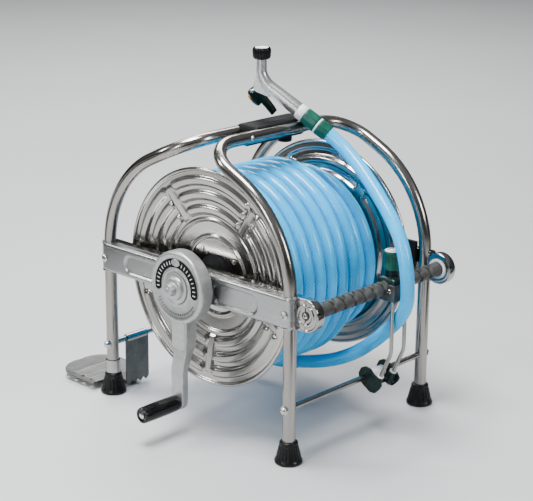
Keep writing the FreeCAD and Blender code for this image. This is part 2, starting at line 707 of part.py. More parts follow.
# --- level-wind screw, its pulley and the belt -----------------------------------------
turned("level_screw",
       [("-housing_face + 3.5", "0"), ("-housing_face + 3.5", JOURNAL),
        ("-case_inner + 3", JOURNAL),
        ("-case_inner + 3", "screw_dia / 2"), ("case_split - 3.5", "screw_dia / 2"),
        ("case_split - 3.5", JOURNAL), ("arm_face - 4", JOURNAL), ("arm_face - 4", "0")],
       "0", "-screw_y", "axle_height")
ring("screw_pulley", "pulley_dia / 2", JOURNAL + " + 0.02", "-case_inner - 7.4",
     "-case_inner - 2.6", "-screw_y")
turned("pivot_screw",
       [("-housing_face - 2", "0"), ("-housing_face - 2", "3"), ("-housing_face - 0.1", "6"),
        ("-housing_face - 0.02", "6"), ("-housing_face - 0.02", "3.9"),
        ("-housing_face + 2.8", "3.9"), ("-housing_face + 2.8", "0")],
       "0", "-screw_y", "axle_height")


def belt_loop(gap):
    """The wire round both pulleys, a gap away from them."""
    big = number("pulley_dia * wind_pitch / screw_lead / 2") + gap
    small = number("pulley_dia") / 2 + gap
    span = number("screw_y")
    lean = math.asin((big - small) / span)
    x = -number("case_inner") - 5 - number("belt_width") / 2
    z = number("axle_height")

    def around(y, radius, angle):
        return Vec(x, y + radius * math.cos(angle), z + radius * math.sin(angle))
    top = math.pi / 2 + lean
    back = [around(0, big, top), around(0, big, 0), around(0, big, -top)]
    front = [around(-span, small, -top), around(-span, small, math.pi),
             around(-span, small, top)]
    return Part.Wire([Part.Arc(*back).toShape(),
                      Part.LineSegment(back[2], front[0]).toShape(),
                      Part.Arc(*front).toShape(),
                      Part.LineSegment(front[2], back[0]).toShape()])


belt_face = Part.Face(belt_loop(2.0)).cut(Part.Face(belt_loop(0.3)))
keep(feature("drive_belt", belt_face.extrude(Vec(number("belt_width"), 0, 0))), "drive_belt")

# --- hose guide ---------------------------------------------------------------------------
ROD_LEFT = "guide_x - rod_gap / 2"
ROD_RIGHT = "guide_x + rod_gap / 2"
block_body = block("guide_block_body", ("block_width", "36", "35"),
                   ("guide_x - block_width / 2", "-screw_y - 20.5", "axle_height - 19"))
block_soft = doc.addObject("Part::Fillet", "guide_block_soft")
block_soft.Base = block_body
doc.recompute()
block_soft.Edges = [(int(name[4:]), 2.0, 2.0)
                    for name in edges_along(block_body.Shape, Vec(0, 0, 1))]
neck_post = cylinder("guide_neck", "9.5", "12", "guide_x", "-screw_y", "axle_height + 14")
block_tools = [cylinder("guide_bore", "screw_dia / 2 + 0.3", "2 * block_width",
                        "guide_x - block_width", "-screw_y", "axle_height", "X"),
               cylinder("guide_pin_bore", "4.3", "40", "guide_x", "-screw_y", "axle_height + 2"),
               cylinder("guide_rod_bore_left", "rod_dia / 2 + 0.02", "30", ROD_LEFT, "-rod_y",
                        "axle_height - 34"),
               cylinder("guide_rod_bore_right", "rod_dia / 2 + 0.02", "30", ROD_RIGHT, "-rod_y",
                        "axle_height - 34")]
keep(cut("guide_block", fuse("guide_block_solid", [block_soft, neck_post]),
         fuse("guide_block_tools", block_tools)), "guide_block")

rods = []
for place in (ROD_LEFT, ROD_RIGHT):
    x = number(place)
    route = [(x, -number("rod_y"), number("axle_height") - 4.1),
             (x, -number("rod_y"), 127.0),
             (x, -number("rod_y") + 26.0, 70.0)]
    path, _ = rounded_path(route, [30.0])
    rods.append(swept(path, number("rod_dia / 2")))
keep(feature("guide_rods", Part.makeCompound(rods)), "guide_rods")

shoe_pieces = []
for i, side in enumerate(("-", "+")):
    cheek = doc.addObject("PartDesign::Body", "cheek_%d" % i)
    padded(cheek, "YZ_Plane",
           [("-219", "77"), ("-205", "60"), ("-180", "73"), ("-196", "97")], "4")
    cheek.Placement = FreeCAD.Placement(Vec(number("guide_x %s 21" % side), 0, 0),
                                        FreeCAD.Rotation())
    cheek.setExpression("Placement.Base.x", link("guide_x %s 21" % side))
    head = cylinder("cheek_head_%d" % i, "13.5", "4", "guide_x %s 21 - 2" % side, "-leg_y",
                    "bar_height + 3", "X")
    shoe_pieces += [cheek, head]
    socket_x = "guide_x %s rod_gap / 2" % side
    socket = cylinder("rod_socket_%d" % i, "5.5", "21", socket_x, "-210.8", "86")
    lean = FreeCAD.Rotation(Vec(0, 0, 1), Vec(0, 26, -57))
    socket.Placement = FreeCAD.Placement(socket.Placement.Base, lean)
    link_bar = cylinder("socket_link_%d" % i, "5", "8", "guide_x %s 17 - 4" % side, "-207",
                        "72", "X")
    shoe_pieces += [socket, link_bar]
shoe_pieces.append(block("shoe_web", ("42", "12", "4"), ("guide_x - 21", "-198", "66")))
shoe_bore = cylinder("shoe_bore", "bar_dia / 2 + 0.3", "80", "guide_x - 40", "-leg_y",
                     "bar_height", "X")
keep(cut("guide_shoe", fuse("guide_shoe_solid", shoe_pieces), shoe_bore), "guide_shoe")

ring_x = "guide_x - 18.6"
keep(cut("guide_roller",
         cylinder("roller_body", "8.5", "37.2", ring_x, "-leg_y", "bar_height", "X"),
         cylinder("roller_bore", "bar_dia / 2 + 0.06", "50", "guide_x - 25", "-leg_y",
                  "bar_height", "X")), "guide_roller")

turned("release_knob",
       [("axle_height + 24", "9.8"), ("axle_height + 24", "11"), ("axle_height + 51", "11"),
        ("axle_height + 52", "13"), ("axle_height + 58", "13"), ("axle_height + 58", "0"),
        ("axle_height + 35", "0"), ("axle_height + 35", "9.8")],
       "guide_x", "-screw_y", "0", about="Z")
keep(cylinder("follower_pin", "4", "23.6"), "follower_pin",
     "guide_x", "-screw_y", "axle_height + screw_dia / 2 + 0.5")
guide_screw = pan_screw((number("guide_x - block_width / 2"), -number("rod_y") + 0.5,
                         number("axle_height") - 2), (-1, 0, 0), 3.0, 3.2)
keep(feature("guide_screw", guide_screw), "guide_screw")

# --- water inlet on the far end of the axle ----------------------------------------------
turned("inlet_swivel",
       [("axle_far - 12", "axle_dia / 2 + running_gap"), ("axle_far - 12", "14"),
        ("axle_far - 2", "14"), ("axle_far + 1", "11"), ("axle_far + 2", "11"),
        ("axle_far + 2", "5"), ("axle_far + 0.3", "5"),
        ("axle_far + 0.3", "axle_dia / 2 + running_gap")],
       "0", "0", "axle_height")
turned("inlet_nipple",
       [("axle_far + 2.02", "5"), ("axle_far + 2.02", "10"), ("axle_far + 5", "10"),
        ("axle_far + 5", "7.5"), ("axle_far + inlet_reach", "7.5"),
        ("axle_far + inlet_reach", "5")],
       "0", "0", "axle_height")

# --- spray nozzle, parked on the handle ------------------------------------------------------
BEND = Vec(20.5, 31.9, 497.2)           # where the neck meets the barrel
HOSE_END = Vec(62.5, -66.1, 423.7)      # where the hose leaves the connector
RUN = (HOSE_END - BEND).normalize()
REACH = (HOSE_END - BEND).Length


def along_barrel(distance):
    return BEND + RUN * distance


def barrel_cone(radius_in, radius_out, start, end):
    if abs(radius_in - radius_out) < 1e-6:
        return Part.makeCylinder(radius_in, end - start, along_barrel(start), RUN)
    return Part.makeCone(radius_in, radius_out, end - start, along_barrel(start), RUN)


neck_path, _ = rounded_path([BEND + Vec(0, 0, 34.5), BEND, along_barrel(30)], [20.0])
nozzle = swept(neck_path, 8.0).fuse(barrel_cone(8.0, 10.5, 18, 66))
nozzle = nozzle.fuse(barrel_cone(10.5, 10.5, 66, 72)).removeSplitter()
keep(feature("nozzle_body", nozzle), "nozzle_body")
keep(feature("nozzle_ring", barrel_cone(12.0, 12.0, 72.05, 84)), "nozzle_ring")
connector = barrel_cone(12.5, 13.5, 84.05, 108).fuse(barrel_cone(12.0, 12.0, 108, 110))
keep(feature("hose_connector", connector.removeSplitter()), "hose_connector")
nut = barrel_cone(13.0, 12.0, 110.05, 128).fuse(barrel_cone(11.5, 11.5, 128, REACH))
keep(feature("hose_nut", nut.removeSplitter()), "hose_nut")
turned("nozzle_head",
       [("34.6", "0"), ("34.6", "12"), ("36.5", "14"), ("47.5", "14"), ("49.5", "12.5"),
        ("49.5", "0")],
       *["%.1f" % place for place in BEND], about="Z")

PIVOT = BEND + Vec(1, 14, -14)
LEVER_END = Vec(44.5, 27.9, 445.7)
lever_line = LEVER_END - PIVOT
pivot_side = lever_line.cross(RUN).normalize()
lever = Part.makeCylinder(5.0, 9, PIVOT - pivot_side * 4.5, pivot_side)
bar_base = Part.makeBox(9, 7, lever_line.Length, Vec(-4.5, -3.5, 0))
bar_base.Placement = FreeCAD.Placement(PIVOT, FreeCAD.Rotation(Vec(0, 0, 1), lever_line))
lever = lever.fuse(bar_base).removeSplitter()
pin_hole = Part.makeCylinder(2.05, 40, PIVOT - pivot_side * 20, pivot_side)
keep(feature("nozzle_trigger", lever.cut(pin_hole)), "nozzle_trigger")
pin = Part.makeCylinder(2.0, 16, PIVOT - pivot_side * 8, pivot_side)
keep(feature("trigger_pin", pin), "trigger_pin")

# --- free run of hose ----------------------------------------------------------------------------
# From the connector down the front, between the guide rods, in a slack loop
# under the drum and up behind it to the last turn.
HOSE_ROUTE = [
    (62.6, -66.33, 423.53),
    (69.8, -83.1, 411),
    (68, -115, 390),
    (59, -149, 369),
    (49, -181, 347),
    (40, -211, 323),
    (32, -235, 297),
    (28, -248, 266),
    (28, -252, 235),
    (33, -248.5, 206),
    (38, -232.5, 180),
    (42, -209, 156),
    (44, -184, 132),
    (46, -148, 103),
    (48, -108, 80),
    (52, -65, 63),
    (56, -20, 50),
    (60, 28, 36),
    (61, 76, 38),
    (59, 118, 58),
    (56, 146, 92),
    (52, 156, 130),
    (50, 155, 166),
]
hose_path, hose_radii = rounded_path(HOSE_ROUTE)
hose = swept(hose_path, number("hose_dia / 2"))
section = math.pi * number("hose_dia / 2") ** 2
print("hose arc radii:", [round(r) for r in hose_radii])
print("hose length %.0f, volume ratio %.4f"
      % (hose_path.Length, hose.Volume / (section * hose_path.Length)))
keep(feature("hose_lead", hose), "hose_lead")

# --- checks and files ------------------------------------------------------------------------------
doc.recompute()
for item in doc.Objects:
    if "Invalid" in item.State or "Error" in item.State:
        raise RuntimeError("failed: %s %s" % (item.Label, item.State))
for part in SUB_PARTS:
    shape = part.Shape
    if shape.isNull() or not shape.isValid() or not shape.Solids:
        raise RuntimeError("bad shape: " + part.Label)
    box = shape.BoundBox
    print("%-18s %d solids  x %7.1f %7.1f  y %7.1f %7.1f  z %7.1f %7.1f"
          % (part.Label, len(shape.Solids), box.XMin, box.XMax, box.YMin, box.YMax,
             box.ZMin, box.ZMax))
    shape.exportStep("parts/%s.step" % part.Label)
print(len(SUB_PARTS), "sub-parts")
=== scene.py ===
import bpy
import bmesh
import json
import math
from mathutils import Matrix, Vector


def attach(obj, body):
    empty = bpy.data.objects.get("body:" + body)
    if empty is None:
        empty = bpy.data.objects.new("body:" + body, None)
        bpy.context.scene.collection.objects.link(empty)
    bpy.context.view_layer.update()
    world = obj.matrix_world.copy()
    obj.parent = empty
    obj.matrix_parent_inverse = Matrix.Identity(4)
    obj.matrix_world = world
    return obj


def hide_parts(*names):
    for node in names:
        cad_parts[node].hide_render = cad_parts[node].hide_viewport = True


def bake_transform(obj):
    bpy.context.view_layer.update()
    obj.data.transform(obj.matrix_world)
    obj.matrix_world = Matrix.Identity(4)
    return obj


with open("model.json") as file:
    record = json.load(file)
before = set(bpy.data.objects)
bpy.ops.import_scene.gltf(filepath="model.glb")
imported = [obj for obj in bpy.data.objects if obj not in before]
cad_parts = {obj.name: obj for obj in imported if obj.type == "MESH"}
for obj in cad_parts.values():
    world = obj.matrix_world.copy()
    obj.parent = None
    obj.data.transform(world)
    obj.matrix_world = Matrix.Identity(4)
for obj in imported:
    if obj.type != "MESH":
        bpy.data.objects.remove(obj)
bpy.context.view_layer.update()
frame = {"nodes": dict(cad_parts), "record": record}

# A garden hose reel. Blender works in metres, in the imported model's frame. Sizes
# here are millimetres unless a comment says otherwise. at(x, y, z) places a point
# from the floor midway between the four legs: x along the axle from the crank's
# side (near) to the far side, y from the guide to the back, z up.

MM = 0.001
JOINTS = {j["name"]: j for j in frame["record"]["behaviour"]["joints"]}
AXLE = Vector(JOINTS["drum_spin"]["pos_m"])
AXLE_Z = AXLE.z / MM
TAU = 2 * math.pi
X, Y, Z = 0, 1, 2
NEARWARD, FARWARD, UP = (-1, 0, 0), (1, 0, 0), (0, 0, 1)
LEG_X, LEG_Y = 151, 188     # the legs' centres, either side of the middle
BAR_Z = 82                  # the lower bars' height
SCREW_Y = -214.0            # the level-wind screw lies level with the axle
scene = bpy.context.scene


def at(x, y, z):
    return Vector((AXLE.x + x * MM, AXLE.y + y * MM, z * MM))


def about_axle(x, radius, angle):
    """A place at a radius and an angle in radians round the axle."""
    return at(x, radius * math.cos(angle), AXLE_Z + radius * math.sin(angle))


def cos_sin(degrees):
    return math.cos(math.radians(degrees)), math.sin(math.radians(degrees))


# --- camera ------------------------------------------------------------------
AZIMUTH, ELEVATION, ROLL = -0.81644, 0.298415, 0.0077154    # radians
camera_data = bpy.data.cameras.new("camera")
camera_data.sensor_width = 36.0
camera_data.lens = 100.93
camera_data.clip_start = 0.05
camera_data.clip_end = 60.0
camera = bpy.data.objects.new("camera", camera_data)
camera.matrix_world = (Matrix.Translation(at(-1590.5, -1494.8, 912.4))
                       @ Matrix.Rotation(AZIMUTH, 4, "Z")
                       @ Matrix.Rotation(math.pi / 2 - ELEVATION, 4, "X")
                       @ Matrix.Rotation(ROLL, 4, "Z"))
scene.collection.objects.link(camera)
scene.camera = camera


# --- materials ---------------------------------------------------------------
def node(tree, kind, **values):
    """A node with its properties and its input sockets set by name."""
    made = tree.nodes.new(kind)
    for key, value in values.items():
        if key in made.inputs:
            made.inputs[key].default_value = value
        else:
            setattr(made, key, value)
    return made


def wire(tree, *ends):
    """Links pairs of (node, socket): the first of each pair feeds the second."""
    for (source, out), (target, into) in ends:
        tree.links.new(source.outputs[out], target.inputs[into])


def ramp(tree, low, high, start=0.35, stop=0.65):
    made = node(tree, "ShaderNodeValToRGB")
    for element, position, colour in zip(made.color_ramp.elements, (start, stop), (low, high)):
        element.position = position
        element.color = (*colour, 1)
    return made


def grained(name, dark, light, rough, metallic=0.0, scale=60.0, stretch=(1, 1, 1),
            bump=0.1, depth=0.0004, fine=None, specular=0.5):
    """A material whose colour, gloss and surface vary with stretched noise."""
    material = bpy.data.materials.new(name)
    material.use_nodes = True
    tree = material.node_tree
    shader = tree.nodes["Principled BSDF"]
    shader.inputs["Metallic"].default_value = metallic
    shader.inputs["Specular IOR Level"].default_value = specular
    place = node(tree, "ShaderNodeTexCoord")
    mapping = node(tree, "ShaderNodeMapping", Scale=stretch)
    cloud = node(tree, "ShaderNodeTexNoise", Scale=scale, Detail=4.0, Roughness=0.6)
    colour = ramp(tree, dark, light)
    gloss = node(tree, "ShaderNodeMapRange")
    gloss.inputs["To Min"].default_value = rough[0]
    gloss.inputs["To Max"].default_value = rough[1]
    grain = node(tree, "ShaderNodeTexNoise", Scale=fine or scale * 6, Detail=3.0)
    height = node(tree, "ShaderNodeBump", Strength=bump, Distance=depth)
    wire(tree,
         ((place, "Object"), (mapping, "Vector")),
         ((mapping, "Vector"), (cloud, "Vector")),
         ((mapping, "Vector"), (grain, "Vector")),
         ((cloud, "Fac"), (colour, "Fac")),
         ((colour, "Color"), (shader, "Base Color")),
         ((grain, "Fac"), (gloss, "Value")),
         ((gloss, "Result"), (shader, "Roughness")),
         ((grain, "Fac"), (height, "Height")),
         ((height, "Normal"), (shader, "Normal")))
    return material


TUBE_STEEL = grained("tube_steel", (0.29, 0.28, 0.262), (0.36, 0.347, 0.325), (0.19, 0.23),
                     metallic=1.0, scale=9.0, stretch=(1, 1, 0.4), bump=0.0, fine=60)
PRESSED_STEEL = grained("pressed_steel", (0.39, 0.382, 0.362), (0.47, 0.461, 0.438),
                        (0.16, 0.21), metallic=1.0, scale=7.0, bump=0.0, fine=50)
ARM_STEEL = grained("arm_steel", (0.31, 0.315, 0.315), (0.38, 0.385, 0.385), (0.25, 0.30),
                    metallic=1.0, scale=12.0, stretch=(1, 0.2, 1), bump=0.0, fine=60)
CASE_STEEL = grained("case_steel", (0.34, 0.337, 0.325), (0.42, 0.416, 0.402), (0.10, 0.17),
                     metallic=1.0, scale=10.0, stretch=(1, 0.3, 1), bump=0.0, fine=60)
SCREW_STEEL = grained("screw_steel", (0.52, 0.51, 0.49), (0.66, 0.65, 0.63), (0.12, 0.22),
                      metallic=1.0, scale=120.0, bump=0.05)
CAST_GREY = grained("cast_grey", (0.37, 0.378, 0.378), (0.44, 0.448, 0.448), (0.30, 0.40),
                    metallic=0.75, scale=160.0, bump=0.12, depth=0.0002)
SCREW_GREY = grained("screw_grey", (0.042, 0.043, 0.042), (0.070, 0.071, 0.068), (0.40, 0.52),
                     scale=110.0, bump=0.15, depth=0.0003, specular=0.16)
RUBBER = grained("black_rubber", (0.002, 0.003, 0.003), (0.005, 0.006, 0.006), (0.22, 0.36),
                 scale=90.0, bump=0.12, depth=0.0003, specular=0.22)
BLACK = grained("black_plastic", (0.003, 0.0035, 0.004), (0.007, 0.008, 0.009), (0.50, 0.62),
                scale=140.0, bump=0.10, depth=0.0002, specular=0.10)
GLOSS_BLACK = grained("gloss_black", (0.002, 0.0025, 0.003), (0.005, 0.006, 0.006), (0.12, 0.20),
                      scale=100.0, bump=0.05, depth=0.0002, specular=0.3)
BRACKET_GREY = grained("bracket_grey", (0.05, 0.055, 0.055), (0.09, 0.095, 0.095), (0.3, 0.4),
                       metallic=0.5, scale=90.0, bump=0.08, depth=0.0002)
DARK_GREEN = grained("dark_green", (0.002, 0.010, 0.009), (0.004, 0.017, 0.015), (0.22, 0.34),
                     scale=120.0, bump=0.10, depth=0.0002, specular=0.25)
GREEN = grained("green_plastic", (0.004, 0.055, 0.040), (0.007, 0.085, 0.060), (0.26, 0.38),
                scale=90.0, bump=0.10, depth=0.0002, specular=0.3)
WHITE = grained("white_plastic", (0.70, 0.71, 0.72), (0.80, 0.81, 0.82), (0.30, 0.42),
                scale=80.0, bump=0.06, depth=0.0002)
SILVER = grained("nozzle_silver", (0.56, 0.57, 0.575), (0.64, 0.65, 0.655), (0.24, 0.33),
                 metallic=0.9, scale=70.0, bump=0.06, depth=0.0002)
PEDAL_GREY = grained("pedal_grey", (0.10, 0.103, 0.098), (0.145, 0.148, 0.141), (0.32, 0.44),
                     metallic=0.6, scale=60.0, bump=0.12, depth=0.0003)
HOSE_BLUE = grained("hose_blue", (0.001, 0.39, 0.82), (0.003, 0.46, 0.92), (0.15, 0.21),
                    scale=30.0, bump=0.05, depth=0.0003, specular=0.40)
ORANGE = grained("orange_plastic", (0.60, 0.20, 0.02), (0.72, 0.26, 0.03), (0.32, 0.42),
                 scale=90.0, bump=0.06, depth=0.0002)


def add_braid(material):
    """Faint crossing threads, from UVs that run along a hose and around it."""
    tree = material.node_tree
    shader = tree.nodes["Principled BSDF"]
    plain = shader.inputs["Base Color"].links[0].from_node
    place = node(tree, "ShaderNodeTexCoord")
    split = node(tree, "ShaderNodeSeparateXYZ")
    along = node(tree, "ShaderNodeMath", operation="MULTIPLY")
    along.inputs[1].default_value = TAU * 170
    around = node(tree, "ShaderNodeMath", operation="MULTIPLY")
    around.inputs[1].default_value = TAU * 12
    threads = []
    for way in ("ADD", "SUBTRACT"):
        phase = node(tree, "ShaderNodeMath", operation=way)
        wave = node(tree, "ShaderNodeMath", operation="COSINE")
        wire(tree, ((along, "Value"), (phase, 0)), ((around, "Value"), (phase, 1)),
             ((phase, "Value"), (wave, 0)))
        threads.append(wave)
    crossing = node(tree, "ShaderNodeMath", operation="MAXIMUM")
    fade = node(tree, "ShaderNodeMapRange")
    fade.inputs["From Min"].default_value = 0.72
    fade.inputs["To Max"].default_value = 0.20
    mix = node(tree, "ShaderNodeMix", data_type="RGBA")
    mix.inputs[7].default_value = (0.18, 0.70, 0.95, 1)
    wire(tree,
         ((place, "UV"), (split, "Vector")),
         ((split, "X"), (along, 0)),
         ((split, "Y"), (around, 0)),
         ((threads[0], "Value"), (crossing, 0)),
         ((threads[1], "Value"), (crossing, 1)),
         ((crossing, "Value"), (fade, "Value")),
         ((fade, "Result"), (mix, 0)),
         ((plain, "Color"), (mix, 6)),
         ((mix, 2), (shader, "Base Color")))


add_braid(HOSE_BLUE)

SLOT_LOOKS = {
    "stainless": TUBE_STEEL, "black_rubber": RUBBER, "black_plastic": BLACK,
    "white_plastic": WHITE, "grey_metal": PEDAL_GREY, "blue_hose": HOSE_BLUE,
    "cast_grey": CAST_GREY, "screw_grey": SCREW_GREY, "dark_green": DARK_GREEN,
    "green_plastic": GREEN, "nozzle_silver": SILVER,
}
for part in frame["record"]["subparts"]:
    for place in frame["nodes"][part["node"]].material_slots:
        place.material = SLOT_LOOKS[part["material_slot"]]
frame["nodes"]["leg_collar"].material_slots[0].material = CASE_STEEL


# --- mesh helpers ------------------------------------------------------------
def span(low, high, step):
    """Even values from low to high, about a step apart."""
    count = max(1, round((high - low) / step))
    return [low + (high - low) * i / count for i in range(count + 1)]


def smooth_step(value):
    value = min(max(value, 0.0), 1.0)
    return value * value * (3 - 2 * value)


def between(table, value):
    """Straight-line interpolation in a table of (value, result) pairs."""
    for (a, fa), (b, fb) in zip(table, table[1:]):
        if value <= b:
            return fa + (fb - fa) * max(0.0, value - a) / (b - a)
    return table[-1][1]


def round_box(width, height, radius, steps=5):
    """A rectangle with rounded corners, as (across, up) pairs about its middle."""
    points = []
    for cx, cy, start in ((1, 1, 0), (-1, 1, 90), (-1, -1, 180), (1, -1, 270)):
        for a in span(start, start + 90, 90 / steps):
            c, s = cos_sin(a)
            points.append((cx * (width / 2 - radius) + radius * c,
                           cy * (height / 2 - radius) + radius * s))
    return points


def solid(verts, faces):
    """A mesh with its faces turned outwards."""
    mesh = bpy.data.meshes.new("solid")
    mesh.from_pydata(verts, [], faces)
    work = bmesh.new()
    work.from_mesh(mesh)
    bmesh.ops.recalc_face_normals(work, faces=work.faces)
    work.to_mesh(mesh)
    work.free()
    return mesh


def merged(meshes):
    """Several closed meshes as one."""
    work = bmesh.new()
    for mesh in meshes:
        work.from_mesh(mesh)
        bpy.data.meshes.remove(mesh)
    mesh = bpy.data.meshes.new("merged")
    work.to_mesh(mesh)
    work.free()
    return mesh


def loft(sections, closed=False):
    """Quads between loops of points, capped at each end or closed into a ring."""
    count = len(sections[0])
    verts = [point for section in sections for point in section]
    faces = []
    for i in range(len(sections) if closed else len(sections) - 1):
        for k in range(count):
            a, b = i * count + k, i * count + (k + 1) % count
            faces.append((a, b, (b + count) % len(verts), (a + count) % len(verts)))
    if not closed:
        faces.append(tuple(range(count))[::-1])
        faces.append(tuple(range(len(verts) - count, len(verts))))
    return solid(verts, faces)


def extruded(axis, outline, stops):
    """A prism along X, Y or Z; its outline gives the other two coordinates."""
    return loft([[at(*pair[:axis], stop, *pair[axis:]) for pair in outline]
                 for stop in stops])


def brick(low, high):
    """A box between two corners."""
    (x0, y0, z0), (x1, y1, z1) = low, high
    return extruded(Z, [(x0, y0), (x1, y0), (x1, y1), (x0, y1)], (z0, z1))


def lathe(profile, origin, axis, around=64, shape=None):
    """A turned mesh from (along the axis, radius) pairs.

    The profile is a closed loop unless it starts and ends on the axis.
    shape(along, radius, angle) may move each point.
    """
    axis = Vector(axis).normalized()
    first = Vector((0, 1, 0)) if max(abs(axis.y), abs(axis.z)) < 0.9 else Vector((1, 0, 0))
    first = (first - axis * first.dot(axis)).normalized()
    second = axis.cross(first)
    verts, rings = [], []
    for along, radius in profile:
        if radius == 0:
            rings.append([len(verts)])
            verts.append(origin + axis * (along * MM))
            continue
        ring = []
        for k in range(around):
            angle = TAU * k / around
            s, r = shape(along, radius, angle) if shape else (along, radius)
            ring.append(len(verts))
            verts.append(origin + axis * (s * MM)
                         + (first * math.cos(angle) + second * math.sin(angle)) * (r * MM))
        rings.append(ring)
    pairs = list(zip(rings, rings[1:]))
    if len(rings[0]) > 1:
        pairs.append((rings[-1], rings[0]))
    faces = []
    for low, high in pairs:
        for k in range(around):
            j = (k + 1) % around
            if len(low) == 1:
                faces.append((low[0], high[j], high[k]))
            elif len(high) == 1:
                faces.append((low[k], low[j], high[0]))
            else:
                faces.append((low[k], low[j], high[j], high[k]))
    return solid(verts, faces)


def fluted(count, deep, low, high, radius_low):
    """For lathe: even flutes between two heights, outside a radius."""
    def move(s, r, angle):
        if low < s < high and r > radius_low:
            r -= deep * (0.5 + 0.5 * math.cos(count * angle)) ** 2
        return s, r
    return move


def pan_head(seat, axis, radius, shank):
    """A pan head with a cross recess, and its shank."""
    def cross(s, r, angle):
        if s < 1 or r > 0.66 * radius:
            return s, r
        u, v = abs(r * math.cos(angle)), abs(r * math.sin(angle))
        return (s - 1.3, r) if min(u, v) < 0.17 * radius else (s, r)
    top = [(0, radius), (0.9, radius), (1.7, 0.86 * radius), (2.2, 0.7 * radius)]
    top += [(2.35, f * radius) for f in (0.64, 0.5, 0.35, 0.2, 0.12)] + [(1.1, 0)]
    return lathe([(-shank, 0), (-shank, 2.0), (0, 2.0)] + top, seat, axis, 48, cross)


def holed(mesh, cutter):
    """A mesh with another taken out of it."""
    base, tool = (bpy.data.objects.new("holed", m) for m in (mesh, cutter))
    for part in (base, tool):
        scene.collection.objects.link(part)
    cut = base.modifiers.new("cut", "BOOLEAN")
    cut.operation, cut.object, cut.solver = "DIFFERENCE", tool, "EXACT"
    bpy.context.view_layer.update()
    made = bpy.data.meshes.new_from_object(
        base.evaluated_get(bpy.context.evaluated_depsgraph_get()))
    for part in (base, tool):
        bpy.data.objects.remove(part)
    return made


def spline_line(points, resolution):
    """The points of a smooth NURBS line, read from a curve with no bevel."""
    data = bpy.data.curves.new("route", "CURVE")
    data.dimensions = "3D"
    run = data.splines.new("NURBS")
    run.points.add(len(points) - 1)
    for place, point in zip(run.points, points):
        place.co = (*point, 1.0)
    run.use_endpoint_u = True
    run.order_u = 3
    run.resolution_u = resolution
    holder = bpy.data.objects.new("route", data)
    scene.collection.objects.link(holder)
    bpy.context.view_layer.update()
    mesh = bpy.data.meshes.new_from_object(holder)
    line = [v.co.copy() for v in mesh.vertices]
    bpy.data.objects.remove(holder)
    bpy.data.meshes.remove(mesh)
    return line


def tube_mesh(line, radius, around=18):
    """A tube along a line of points. UVs run along it in metres and around it.

    The radius is in metres: a number, or a function of the way along.
    """
    count = len(line)
    along = [0.0]
    for before, after in zip(line, line[1:]):
        along.append(along[-1] + (after - before).length)
    tangents = []
    for i in range(count):
        ahead = line[min(i + 1, count - 1)] - line[max(i - 1, 0)]
        tangents.append(ahead.normalized())
    side = tangents[0].orthogonal().normalized()
    verts = []
    for i, point in enumerate(line):
        if i:
            turn = tangents[i - 1].rotation_difference(tangents[i])
            side = turn @ side
            side = (side - tangents[i] * side.dot(tangents[i])).normalized()
        up = tangents[i].cross(side)
        size = radius(along[i]) if callable(radius) else radius
        for k in range(around):
            a = TAU * k / around
            verts.append(point + side * (size * math.cos(a)) + up * (size * math.sin(a)))
    faces = []
    for i in range(count - 1):
        for k in range(around):
            a, b = i * around + k, i * around + (k + 1) % around
            faces.append((a, b, b + around, a + around))
    faces.append(tuple(range(around))[::-1])
    faces.append(tuple((count - 1) * around + k for k in range(around)))
    mesh = bpy.data.meshes.new("tube")
    mesh.from_pydata(verts, [], faces)
    layer = mesh.uv_layers.new(name="UVMap")
    for face in mesh.polygons:
        if len(face.vertices) != 4:
            continue
        for loop in face.loop_indices:
            i, k = divmod(mesh.loops[loop].vertex_index, around)
            wraps = k == 0 and max(v % around for v in face.vertices) == around - 1
            layer.data[loop].uv = (along[i], (around if wraps else k) / around)
    return mesh


# --- pieces ------------------------------------------------------------------
def piece(name, shape, material, body, nodes, sharp=35):
    """A mesh, or a list of them as one, that rides on a body and stands for CAD nodes.

    It is smoothed, apart from edges sharper than an angle in degrees.
    """
    mesh = merged(shape) if isinstance(shape, list) else shape
    mesh.name = name
    made = bpy.data.objects.new(name, mesh)
    scene.collection.objects.link(made)
    mesh.materials.append(material)
    mesh.shade_smooth()
    mesh.set_sharp_from_angle(angle=math.radians(sharp))
    if body:
        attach(made, body)
    if nodes:
        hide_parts(*nodes)
    return made


def soften(made, width, segments=3):
    """Rounds a piece's sharp edges."""
    bevel = made.modifiers.new("bevel", "BEVEL")
    bevel.width = width * MM
    bevel.segments = segments
    bevel.limit_method = "ANGLE"
    bevel.angle_limit = math.radians(38)


# --- the hose ----------------------------------------------------------------
HOSE_DIA = 21.0
RIM_NEAR, RIM_FAR = -125.0, 137.0   # the flanges' rims along the axle
# (radius, depth): how far a flange is dished inside its rim's plane
DISH = [(0, 17.0), (56, 17.0), (64, 16.4), (86, 13.0), (156, 0.9), (160, 0.4)]
PITCH = 25.0                        # the guide's advance for each turn
LAYERS = [73.1 + 17.6 * i for i in range(5)]
# each layer turns back against the dished near flange, and short of the far one
COIL_LOW = [-97.6 - 3.0 * i for i in range(5)]
COIL_HIGH = 107.5
TURN_POINTS = 12
CLIMB_POINTS = 6                    # over these the hose climbs to the next layer


